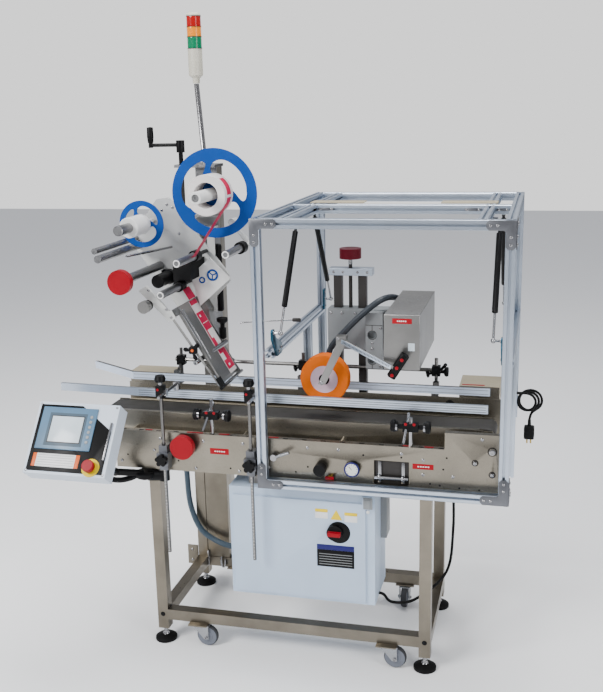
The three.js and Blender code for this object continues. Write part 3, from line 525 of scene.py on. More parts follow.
def extrusion(shape, a, b):
    """Slotted profile between two points on its centre line, along X, Y or Z."""
    a, b = Vector(a), Vector(b)
    along = (b - a).normalized()
    u = Vector(UP) if abs(along.z) < 0.5 else Vector((1, 0, 0))
    v = along.cross(u)
    section = []
    for p in slot_section():
        if not section or (Vector(p) - Vector(section[-1])).length > 0.01:
            section.append(p)
    low = [shape.bm.verts.new(a + u * q[0] + v * q[1]) for q in section]
    high = [shape.bm.verts.new(b + u * q[0] + v * q[1]) for q in section]
    faces = []
    for i in range(len(section)):
        k = (i + 1) % len(section)
        faces.append(shape.bm.faces.new((low[i], low[k], high[k], high[i])))
    for ring in (low[::-1], high):
        faces.append(shape.bm.faces.new(ring))
    bmesh.ops.recalc_face_normals(shape.bm, faces=faces)


# Rounded L bracket with arms 84 long and 29 wide, and where its four screws sit.
BRACKET = [(0, 0), (76, 0), (84, 8), (84, 21), (76, 29), (34, 29), (29, 34), (29, 76), (21, 84),
           (8, 84), (0, 76)]
BRACKET_SCREWS = ((52, 14.5), (72, 14.5), (14.5, 48), (14.5, 70))


def bracket(shape, screws, place, out):
    """L bracket 3 mm thick. place(u, v, w) gives the 3D point and out is the way it faces."""
    shape.plate(BRACKET, place, 3.0, 0.7)
    for u, v in BRACKET_SCREWS:
        screws.screw(place(u, v, 3), out, 4.4, 2.6)


def corner_plate(shape, screws, x, z, right, up, y):
    """Bracket on the front face, its corner at (x, z)."""
    sx, sz = (1 if right else -1), (1 if up else -1)
    bracket(shape, screws, lambda u, v, w: (x + sx * u, y - w, z + sz * v), TO_FRONT)


def side_plate(shape, screws, y, z, back, up):
    """Bracket on the right hand face of the guard, its corner at (y, z)."""
    sy, sz = (1 if back else -1), (1 if up else -1)
    bracket(shape, screws, lambda u, v, w: (GUARD_RIGHT + w, y + sy * u, z + sz * v), (1, 0, 0))


def hinge_plate(shape, screws, x0, x1, y, z):
    """Long rounded hinge leaf lying in the beam's front slot, with its two screws."""
    mid = z + PROFILE / 2
    shape.box(x0, x1, y - 3.4, y - 0.2, mid - 11, mid + 11, 3.0)
    shape.box(x0 + 14, x1 - 14, y - 5.5, y - 3.0, mid - 5, mid + 5, 1.2)
    for x in (x0 + 8, x1 - 8):
        screws.screw((x, y - 3.4, mid), TO_FRONT, 4.6, 2.8)


def make_guard():
    door = Shape()
    fy = GUARD_FRONT + 15
    for z in (BEAM_Z + 15, GUARD_BOTTOM + 15):
        extrusion(door, (GUARD_LEFT + 30, fy, z), (GUARD_RIGHT - 30, fy, z))
    for x in OUTER_ARMS:
        extrusion(door, (x + 15, fy, GUARD_BOTTOM), (x + 15, fy, GUARD_TOP))
    for x in (*OUTER_ARMS, *INNER_ARMS):
        extrusion(door, (x + 15, GUARD_FRONT + 30, BEAM_Z + 15), (x + 15, 345, BEAM_Z + 15))
    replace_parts(door.make("door_profiles", "front_guard_door", "aluminium"), "front_guard_door")

    plates, screws = Shape(), Shape()
    for right, x in ((True, GUARD_LEFT), (False, GUARD_RIGHT)):
        corner_plate(plates, screws, x, GUARD_TOP - 0.5, right, False, GUARD_FRONT)
        corner_plate(plates, screws, x, GUARD_BOTTOM + 0.5, right, True, GUARD_FRONT)
    side_plate(plates, screws, GUARD_FRONT + 0.5, GUARD_TOP - 0.5, True, False)
    side_plate(plates, screws, GUARD_FRONT + 0.5, GUARD_BOTTOM + 0.5, True, True)
    for x in INNER_ARMS:
        face = x if x < 700 else x + PROFILE
        plates.box(face - 14, face + 14, 244, 268, BEAM_Z - 30, BEAM_Z + 1, 1.5)
    plates.make("door_corner_plates", "front_guard_door", "corner_steel", "satin_steel")
    screws.make("door_screws", "front_guard_door", "bright_steel")

    fixed = Shape()
    for y, z in ((365, BEAM_Z + 15), (819, BEAM_Z + 15), (819, GUARD_BOTTOM + 15), (575, 661)):
        extrusion(fixed, (GUARD_LEFT + 30, y, z), (GUARD_RIGHT - 30, y, z))
    for x in OUTER_ARMS:
        extrusion(fixed, (x + 15, 819, GUARD_BOTTOM), (x + 15, 819, GUARD_TOP))
        extrusion(fixed, (x + 15, 350, BEAM_Z + 15), (x + 15, 804, BEAM_Z + 15))
        extrusion(fixed, (x + 15, 60, SIDE_Z + 15), (x + 15, 804, SIDE_Z + 15))
        extrusion(fixed, (x + 15, 575, 480), (x + 15, 575, SIDE_Z))
    for x in (470, 1040):
        extrusion(fixed, (x + 15, 267, 661), (x + 15, 561, 661))
        extrusion(fixed, (x + 15, 281, 676), (x + 15, 281, 720))
    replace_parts(fixed.make("guard_profiles", "machine_base", "aluminium"), "guard_frame")

    leaves, screws, blocks, strut = Shape(), Shape(), Shape(), Shape()
    for x0, x1 in ((520, 574), (1010, 1064), (1112, 1154)):
        hinge_plate(leaves, screws, x0, x1, 353.6, BEAM_Z)
    for x in (498, 1090):
        blocks.box(x, x + 14, 346.5, 360, BEAM_Z + 6, BEAM_Z + 25, 2)
    for side, x in ((1, GUARD_LEFT + 30), (-1, GUARD_RIGHT - 30)):
        a, b = sorted((x + side * 0.4, x + side * 8))
        foot = [(20, 1100), (20, 1126), (26, 1132), (42, 1132), (62, 1100), (126, 1070), (132, 1062),
                (132, 1040), (126, 1034), (76, 1034), (70, 1040)]
        strut.plate(foot, lambda u, v, w, a=a: (a + w, u, v), 7.6, 1.2)
        strut.box(a, b, 764, 794, 1046, 1126, 1.6)
        for y, z in ((92, 1048), (118, 1056), (779, 1058), (779, 1112)):
            screws.screw((x + side * 8, y, z), (side, 0, 0), 5, 3)
        for y, z in ((30, 1122), (778, 1086)):
            screws.screw((x + side * 8, y, z), (side, 0, 0), 6.5, 4)
    for x in (GUARD_LEFT, GUARD_RIGHT):
        out = -1 if x == GUARD_LEFT else 1
        for z in (GUARD_BOTTOM + 46, SIDE_Z + 50, BEAM_Z - 36, BEAM_Z + 15):
            inward = x - out * 3.4
            screws.screw((inward, 819, z), (out, 0, 0), 4.4, 2.6)
    leaves.make("hinge_leaves", BASE, "corner_steel", "satin_steel")
    screws.make("guard_screws", BASE, "bright_steel")
    blocks.make("hinge_blocks", BASE, "black_plastic")
    strut.make("strut_brackets", BASE, "bracket_blue", "satin_steel")

    lid, flats, screws = Shape(), Shape(), Shape()
    extrusion(lid, (INNER_ARMS[0] + 30, 783, BEAM_Z + 15), (INNER_ARMS[1], 783, BEAM_Z + 15))
    for x in INNER_ARMS:
        extrusion(lid, (x + 15, 386, BEAM_Z + 15), (x + 15, 798, BEAM_Z + 15))
        left = x - 6 if x < 700 else x - 150
        flats.box(left, left + 186, 400, 470, GUARD_TOP - 0.6, GUARD_TOP + 3, 1)
        for u in (20, 93, 166):
            screws.screw((left + u, 435, GUARD_TOP + 0.2), UP, 4.5, 2.6)
        face = x if x < 700 else x + PROFILE
        flats.box(face - 14, face + 14, 512, 536, BEAM_Z - 15, BEAM_Z + 1, 1.5)
    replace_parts(lid.make("lid_profiles", "rear_guard_lid", "aluminium"), "rear_guard_lid")
    flats.make("lid_plates", "rear_guard_lid", "cream", "aluminium")
    screws.make("lid_screws", "rear_guard_lid", "bright_steel")


# ------------------------------------------------------------------ CAD nodes with their finishes

FLANGE_POSTS = (239, 887)
RULER_POSTS = (82, 380)
REAR_CLAMPS = (20, 175, 470, 930)


def in_panel(c):
    """Panel coordinates of a point: across, inward and up the sloping front."""
    p = c - Vector((-183, -173, 798))
    return p.x, 0.781 * p.y - 0.625 * p.z, 0.625 * p.y + 0.781 * p.z


def by_posts(c, posts, reach):
    return any(abs(c.x - x) < reach for x in posts)


def on_panel_box(c):
    u, v, w = in_panel(c)
    return abs(u) < 143 and -1 < v < 75 and abs(w) < 123


RULES = {
    "stand_frame": ("stainless", 2.2, [
        ("black_rubber", lambda c, n: c.z < 21),
        ("bright_steel", lambda c, n: c.z < 47.5)]),
    "conveyor_front_plate": ("stainless_plate", 0.5, [
        ("black_plastic", lambda c, n: by_posts(c, FLANGE_POSTS, 53) and 834 < c.z < 868
         and -28 < c.y < 3),
        ("bright_steel", lambda c, n: by_posts(c, FLANGE_POSTS, 60) and c.z > 787.5),
        ("black_plastic", lambda c, n: near(c, 706, 707, 26) and c.y < -27),
        ("black_plastic", lambda c, n: c.x < 90 and c.z < 654.5),
        ("corner_steel", lambda c, n: by_posts(c, RULER_POSTS, 21) and c.y < -27)]),
    "conveyor_rear_plate": ("stainless_plate", 0.8, [
        ("cream", lambda c, n: c.y > 266.5 and c.z > 845)]),
    "belt_bed": ("stainless_plate", 0.4, []),
    "front_guide_rail": ("bright_steel", 0.8, [
        ("rod_steel", lambda c, n: c.z < 886 and c.y < -38),
        ("aluminium", lambda c, n: 886 < c.z < 914 and 38 < c.y < 65),
        ("black_plastic", lambda c, n: 914.5 < c.z < 955 and c.y < -38 and by_posts(c, RULER_POSTS, 14)),
        ("black_plastic", lambda c, n: c.z > 967)]),
    "rear_guide_rail": ("rod_steel", 0.8, [
        ("rail_white", lambda c, n: 886 < c.z < 914 and (c.y < 242 or c.x < -130)),
        ("black_plastic", lambda c, n: 930 <= c.z <= 964 and by_posts(c, REAR_CLAMPS, 15)
         and 285 < c.y < 315)]),
    "mast": ("satin_steel", 0.8, [
        ("bright_steel", lambda c, n: c.z > 1627),
        ("stainless", lambda c, n: c.z < 640),
        ("dark_steel", lambda c, n: c.x < 12 and 1252 < c.z < 1616)]),
    "head_plate": ("head_paint", 0.9, [
        ("satin_steel", lambda c, n: near(c, -122, 1384, 11) or near(c, -107, 1360, 14)),
        ("bright_steel", lambda c, n: near(c, 212, 1548, 13)),
        ("black_plastic", lambda c, n: 64 < c.x < 130 and c.y < 289 and c.z < 1324),
        ("satin_steel", lambda c, n: c.y > 303)]),
    "drive_roller": ("satin_steel", 1.0, [("red_plastic", lambda c, n: c.y < -31)]),
    "guide_roller_upper": ("satin_steel", 1.0, [("black_plastic", lambda c, n: c.y > 157)]),
    "guide_roller_lower": ("satin_steel", 1.0, [("black_plastic", lambda c, n: c.y > 157)]),
    "dancer_arm": ("satin_steel", 1.0, [
        ("black_plastic", lambda c, n: near(c, 302, 1373, 21) and 147 < c.y < 185),
        ("head_paint", lambda c, n: c.y > 186)]),
    "peel_table": ("box_steel", 0.6, [
        ("head_paint", lambda c, n: 19 < c.y < 31 and c.z > 1090),
        ("bright_steel", lambda c, n: near(c, 250, 921, 8)),
        ("black_plastic", lambda c, n: c.y < 81 and c.z < 960 and not near(c, 250, 921, 8))]),
    "press_column": ("dark_steel", 0.8, [("aluminium", lambda c, n: c.z > 1261)]),
    "press_carriage": ("press_paint", 0.9, []),
    "press_height_knob": ("dark_steel", 1.0, [
        ("maroon", lambda c, n: c.z > 1317), ("bright_steel", lambda c, n: c.z > 1297)]),
    "press_motor_box": ("box_steel", 1.2, [
        ("hose_grey", lambda c, n: c.x < 769 or (c.x < 800.5 and c.z > 1141) or c.z > 1199.6),
        ("press_paint", lambda c, n: c.x < 801)]),
    "press_arm": ("box_steel", 0.8, [
        ("black_plastic", lambda c, n: c.x > 815 and c.y > -50)]),
    "cabinet_body": ("cabinet_paint", 2.5, [
        ("conduit", lambda c, n: c.x < 282.5 or c.y > 207),
        ("box_steel", lambda c, n: c.z > 606.5),
        ("press_paint", lambda c, n: c.x > 773)]),
    "cabinet_door": ("cabinet_paint", 3.0, []),
    "control_panel": ("panel_paint", 3.0, [
        ("black_plastic", lambda c, n: not on_panel_box(c))]),
    "estop_button": ("red_plastic", 2.0, []),
    "disconnect_switch": ("black_plastic", 1.2, [
        ("red_plastic", lambda c, n: c.y < -24.5)]),
    "caster_fork": ("zinc", 0.8, []),
    "caster_wheel": ("wheel_grey", 1.0, []),
    "strut_rod": ("bright_steel", 0.4, []),
    "star_knob": ("black_plastic", 1.6, []),
}
TREAD_FROM = 0.0335  # metres from a caster wheel's middle; the tread is beyond it
REBUILT = {"front_guard_door", "guard_frame", "rear_guard_lid", "stack_light", "press_wheel",
           "unwind_reel", "rewind_reel", "label_roll", "power_cord", "cord_coil", "power_plug"}


def finish_nodes():
    slots = {p["node"]: p["material_slot"] for p in frame["record"]["subparts"]}
    for node in sorted(frame["nodes"]):
        if node in REBUILT:
            continue
        key = node if node in RULES else next((k for k in RULES if node.startswith(k)), None)
        base, width, rules = RULES[key] if key else (slots[node], 0.6, [])
        piece = soften(node, base, width)
        paint(piece, rules)
        if node.startswith("caster_wheel"):
            low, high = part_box(node)
            hub = (Vector(low) + Vector(high)) / 2
            piece.data.materials.append(MATERIALS["grey_rubber"])
            for face in piece.data.polygons:
                if (face.center - hub).length > TREAD_FROM:
                    face.material_index = len(piece.data.materials) - 1


# ------------------------------------------------------------------ stand details

def make_stand():
    caps, welds, hook = Shape(), Shape(), Shape()
    for x in (19.05, 934.05):
        for z in (103, 623):
            caps.lathe([(0, 1.6), (6.5, 1.6), (8.4, 0.6), (8.6, -0.3), (0, -0.3)], (x, 0, z), TO_FRONT, 28)
    caps.make("tube_caps", BASE, "black_plastic")
    for x, s in ((38.1, 1), (915, -1)):
        for y in (0.5, 421.5):
            for z in (84.5, 121.6):
                welds.tube([(x + s * 0.3, y + k * 37, z) for k in (0, 0.5, 1)], 1.5, 8, 2)
    welds.make("weld_beads", BASE, "dark_steel", "stainless")
    bend = [(96, 414, 128), (96, 410, 120), (97, 411, 96), (103, 411, 88), (110, 412, 95), (111, 414, 118)]
    hook.tube(bend, 4, 10)
    hook.box(38.6, 46, 412, 420.6, 88, 150, 1.2)
    hook.make("cable_hook", BASE, "bright_steel")
    plate, screws = Shape(), Shape()
    plate.box(-43, -0.6, 417, 422, 86, 166, 1.5)
    for z in (104, 148):
        screws.screw((-24, 417, z), TO_FRONT, 5, 3)
    plate.make("rear_end_plate", BASE, "stainless")
    for node in ("front_left", "front_right", "rear_left", "rear_right"):
        low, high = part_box(f"caster_wheel_{node}")
        centre = (Vector(low) + Vector(high)) / 2 * 1000 - SHIFT
        turn = {"rear_left": 30, "rear_right": -90}.get(node, 0)
        axis = Vector((-math.sin(math.radians(turn)), math.cos(math.radians(turn)), 0))
        for s in (-1, 1):
            screws.screw(centre + axis * s * 22, axis * s, 6, 3.4)
    screws.make("stand_screws", BASE, "bright_steel")


def make_stack_light():
    x, y, base = 27, 570, 1907
    body, dark = Shape(), Shape()
    body.lathe([(0, 0), (12.8, 0), (12.8, 17), (23.6, 26), (25.6, 28), (25.6, 119), (0, 119)],
               (x, y, base), UP, 40)
    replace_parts(body.make("light_body", "machine_base", "lamp_body", "white_plastic"), "stack_light")
    for name, low, high in (("green", 121, 159), ("amber", 161, 193), ("red", 195, 229)):
        lens = Shape()
        ribs = []
        for k in range(1, 8):
            z = low + (high - low) * k / 8
            ribs += [(25.4, z - 0.8), (24.6, z), (25.4, z + 0.8)]
        lens.lathe([(0, low), (25.2, low)] + ribs + [(25.2, high), (0, high)], (x, y, base), UP, 40)
        lens.make(f"light_lens_{name}", BASE, f"lens_{name}", "white_plastic")
    for z in (119, 159, 193, 229):
        dark.lathe([(0, z), (26.6, z), (26.6, z + 2), (0, z + 2)], (x, y, base), UP, 40)
    dark.make("light_rings", BASE, "dark_steel", "white_plastic")
    Shape().lathe(
        [(0, 231), (25.8, 231), (25.4, 236), (20, 241), (0, 242.6)], (x, y, base), UP, 40
    ).make("light_cap", BASE, "lamp_body", "white_plastic")


# ------------------------------------------------------------------ conveyor details

def make_conveyor():
    screws, hole_shade, red, white = Shape(), Shape(), Shape(), Shape()
    front = -26
    for x, z in ((-82, 764), (-82, 678), (36, 722), (60, 764), (60, 676), (180, 668), (210, 764), (330, 668),
                 (345, 764), (430, 690), (560, 764), (660, 764), (860, 764), (928, 748), (928, 700),
                 (1020, 700), (1106, 826)):
        screws.screw((x, front, z), TO_FRONT, 5.2, 3.0)
    # Painted shade: black discs for the holes and black strips for the slots in the top edge stand for the
    # shaded insides of these openings.
    for x, z in ((-60, 700), (120, 690), (300, 676), (520, 680), (560, 700), (740, 752), (860, 752),
                 (990, 722), (980, 668), (1040, 664), (1100, 662), (950, 672), (1000, 760)):
        hole_shade.lathe([(0, 0.5), (2.6, 0.5), (3.1, 0.1), (3.1, -0.2), (0, -0.2)], (x, front, z), TO_FRONT, 16)
    for x in range(-80, 990, 62):
        hole_shade.box(x, x + 16, -20, -14, 787, 787.6, 0.2)
    for x0, x1, z0, z1 in ((232, 296, 722, 742), (895, 960, 718, 735)):
        red.box(x0, x1, front - 0.9, front + 0.2, z0, z1, 0.3)
        for k in range(5):
            u = x0 + (x1 - x0) * (0.24 + 0.12 * k)
            white.box(u, u + 5, front - 1.3, front - 0.8, (z0 + z1) / 2 - 2, (z0 + z1) / 2 + 2, 0.1)
    for x0, x1 in ((4, 28), (150, 205), (262, 296), (430, 462), (862, 892), (930, 958)):
        red.box(x0, x1, -17, -9, 787.1, 787.9, 0.2)
    red.box(1018, 1092, 276, 286, 908, 908.9, 0.2)
    screws.make("conveyor_screws", BASE, "bright_steel")
    hole_shade.make("conveyor_hole_shade", BASE, "black_plastic", "stainless")
    red.make("red_plates", BASE, "label_red", "stainless")
    white.make("red_plate_marks", BASE, "white_plastic", "stainless")

    bar = Shape()
    for x in (792, 866):
        bar.box(x - 5, x + 5, -25, -22.4, 664, 736, 1.5)
        bar.screw((x, -30, 682), TO_FRONT, 7.5, 3.8)
    bar.box(776, 882, -30, -26.4, 677, 687, 1.2)
    bar.make("window_crossbar", BASE, "bright_steel", "stainless")

    Shape().lathe(
        [(0, 0.6), (20.4, 0.6), (20.4, -0.4), (0, -0.4)], (706, -44, 707), TO_FRONT, 40
    ).make("gauge_dial", BASE, "white_plastic", "stainless")
    marks = Shape()
    for k in range(11):
        a = math.radians(225 - 27 * k)
        u, w = math.cos(a), math.sin(a)
        marks.bar((706 + 15 * u, -44.9, 707 + 15 * w), (706 + 19 * u, -44.9, 707 + 19 * w), 0.55, 0, 6)
    marks.bar((706, -45, 707), (697, -45, 717), 0.8, 0, 6)
    marks.make("gauge_marks", BASE, "black_plastic", "stainless")
    Shape().lathe(
        [(0, 2), (12, 2), (15.6, 0), (15.6, -3), (0, -3)], (980, 264, 842), TO_FRONT, 32
    ).make("rear_plate_grommet", BASE, "black_rubber", "stainless")
    # Painted shade: a dark plate just behind the window opening stands for the shaded inside of the conveyor.
    Shape().box(770, 888, -19, -16, 658, 742, 1).make("window_shade_plate", BASE, "dark_steel", "stainless")
    knobs = Shape()
    for x in FLANGE_POSTS:
        for side in (-1, 1):
            knobs.lathe([(0, 46), (17, 46), (19.4, 48.5), (19.4, 58), (16, 61.5), (0, 61.5)],
                        (x, -13, 851), (side, 0, 0), 28)
    knobs.make("flange_clamp_knobs", BASE, "black_plastic", "stainless")
    rims = Shape()
    for x, z, r in ((1137, 789, 13), (1086, 750, 9), (1138, 715, 9)):
        rims.ring((x, -26.6, z), TO_BACK, r, 1.6, 32, 8)
    rims.make("roller_bolt_rims", BASE, "dark_steel", "stainless")
    clamps = Shape()
    for x in REAR_CLAMPS[1:]:
        clamps.lathe([(0, 0), (6, 0), (7, 12), (15, 16), (17, 22), (15, 28), (0, 29)], (x + 13, 300, 944),
                     (1, 0, 0), 10)
        clamps.lathe([(0, 0), (5, 0), (5, 10), (12, 14), (12, 20), (0, 22)], (x - 13, 300, 938),
                     (-1, 0, -0.3), 10)
        clamps.bar((x + 16, 292, 952), (x + 34, 280, 975), 4.4, tip=6)
    clamps.make("rear_clamp_knobs", BASE, "black_plastic", "aluminium")
    grooves = Shape()
    for z in (891, 898.5, 906):
        grooves.box(-36, 1112, 38.6, 39.4, z, z + 1.4, 0)
    grooves.make("front_rail_grooves", "front_guide_rail", "dark_steel", "bright_steel")
    grooves = Shape()
    for z in (892, 905):
        grooves.box(-136, 1108, 228.6, 229.4, z, z + 1.2, 0)
    grooves.make("rear_rail_grooves", BASE, "corner_steel", "aluminium")
    Shape().ring((706, -43.4, 707), TO_BACK, 22.2, 2.8).make("gauge_rim", BASE, "navy", "stainless")

    Shape().bar((632, -26, 671), (632, -36, 671), 8).make("valve_body", BASE, "brass", "stainless")
    Shape().box(619, 647, -40, -36, 666, 677, 1.4).make("valve_tab", BASE, "red_plastic")

    grip = knurl(18, 19.2, 0.8, lambda u, w: ((605 + u, -60, 703 + w), (605 + u, -40, 703 + w)))
    grip.make("regulator_grip", "regulator_knob", "black_plastic")

    bolt = Shape()
    for x, z, r in ((1137, 789, 10.2), (1086, 750, 6.4), (1138, 715, 6.4)):
        bolt.screw((x, -30.4, z), TO_FRONT, r, 2.6)
    bolt.make("roller_bolts", BASE, "bright_steel", "stainless")

    ticks = Shape()
    for x in RULER_POSTS:
        for k in range(58):
            z = 378 + 5 * k
            wide = 3.4 if k % 2 else 4.6
            ticks.box(x - wide / 2, x + wide / 2, -58.3, -57.7, z, z + 1.3, 0)
    ticks.make("ruler_marks", "front_guide_rail", "white_plastic", "bright_steel")

    accents = Shape()
    for x in FLANGE_POSTS:
        for dx in (-14, 12):
            accents.bar((x + dx, -27.4, 862), (x + dx, -28.4, 862), 5, 0.4, 16)
    accents.make("clamp_accents", BASE, "red_plastic", "stainless")
    for x in RULER_POSTS:
        Shape().bar(
            (x - 5, -65.2, 943), (x - 5, -66.2, 943), 4.5, 0.4, 16
        ).make(f"post_accent_{x}", "front_guide_rail", "red_plastic", "bright_steel")


# ------------------------------------------------------------------ label reels

# One swirl window as (share of the disc radius, degrees); the disc has three of them.
WINDOW = [(0.77, -2), (0.78, 15), (0.785, 32), (0.79, 48), (0.79, 64), (0.765, 77), (0.70, 88), (0.61, 95),
          (0.52, 98), (0.43, 92), (0.38, 72), (0.36, 45), (0.39, 18), (0.49, 0), (0.59, -11), (0.68, -15),
          (0.745, -11)]


def swirl_disc(name, node, x, y, z, radius, phase):
    """Thin disc with three swirl windows, its faces square to Y."""
    outlines = [[(radius, 3.75 * k) for k in range(96)]]
    for k in range(3):
        corners = [(radius * share, angle + phase + 120 * k) for share, angle in WINDOW]
        flat = [Vector((r * math.cos(math.radians(a)), r * math.sin(math.radians(a)), 0)) for r, a in corners]
        smooth = spline(flat + flat[:1], 4)[:-1]
        outlines.append([(p.length, math.degrees(math.atan2(p.y, p.x))) for p in smooth])
    curve = bpy.data.curves.new(name, "CURVE")
    curve.dimensions = "2D"
    curve.fill_mode = "BOTH"
    curve.extrude = 0.0021
    curve.bevel_depth = 0.0003
    for outline in outlines:
        line = curve.splines.new("POLY")
        line.points.add(len(outline) - 1)
        line.use_cyclic_u = True
        for point, (r, a) in zip(line.points, outline):
            point.co = (r * math.cos(math.radians(a)) / 1000, r * math.sin(math.radians(a)) / 1000, 0, 1)
    curve.materials.append(MATERIALS["blue_plastic"])
    disc = bpy.data.objects.new(name, curve)
    bpy.context.collection.objects.link(disc)
    disc.location = at(x, y + 2.5, z)
    disc.rotation_euler = (math.pi / 2, 0, 0)
    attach(disc, node)
    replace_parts(disc, node)


def make_reels():
    swirl_disc("unwind_disc", "unwind_reel", 212, 180, 1548, 145.4, 0)
    swirl_disc("rewind_disc", "rewind_reel", -55, 190, 1444, 78.6, 12)
    hub, core = Shape(), Shape()
    hub.lathe([(12.5, 0.4), (18.4, 0.4), (19.8, 2), (19.8, 193), (12.5, 193), (12.5, 0.4)],
              (212, 0, 1548), TO_BACK, 48)
    hub.make("unwind_hub", "unwind_reel", "white_plastic", "blue_plastic")
    core.lathe([(0, 6), (3, 6), (4, 4), (10.5, 4), (12.6, 6), (12.6, 150), (0, 150)],
               (212, 0, 1548), TO_BACK, 32)
    core.make("unwind_core", "unwind_reel", "satin_steel", "blue_plastic")
    Shape().lathe(
        [(15, 84), (31, 84), (33.8, 86.5), (33.8, 189.6), (15, 189.6), (15, 84)], (-55, 0, 1444), TO_BACK,
         48
    ).make("rewind_sleeve", "rewind_reel", "white_plastic", "blue_plastic")
    Shape().lathe(
        [(0, 2), (9, 0.4), (15, 0.6), (16.8, 2.4), (16.8, 190), (0, 190)], (-55, 0, 1444), TO_BACK, 40
    ).make("rewind_core", "rewind_reel", "satin_steel", "blue_plastic")
    roll = Shape()
    roll.lathe([(41.2, 0.6), (64.6, 0.6), (65.8, 1.6), (65.8, 22), (65.8, 34), (65.8, 62), (65.8, 83),
                (41.2, 83), (41.2, 0.6)], (212, 96, 1548), TO_BACK, 96)
    roll = roll.make("label_roll_paper", "unwind_reel", "label_paper")

    def printed(c, n):
        angle = math.degrees(math.atan2(c.z - 1548, c.x - 212))
        in_band = abs(n.y) < 0.5 and 118 < c.y < 158 and not near(c, 212, 1548, 60)
        return in_band and (-62 < angle < -8 or 0 < angle < 52 or angle > 120)

    paint(roll, [("label_pink", printed)])
    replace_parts(roll, "label_roll")


# ------------------------------------------------------------------ label head details

def slope(distance, offset, y):
    """Point on the peel table: down its slope, above its face and across the web."""
    a = math.pi / 3
    return (102 + math.cos(a) * distance + math.sin(a) * offset, y,
            1186 - math.sin(a) * distance + math.cos(a) * offset)


def slab(shape, d0, d1, y0, y1, off, thick):
    outline = [(d0, y0), (d1, y0), (d1, y1), (d0, y1)]
    shape.plate(outline, lambda u, v, w: slope(u, off + w, v), thick, 0.15)


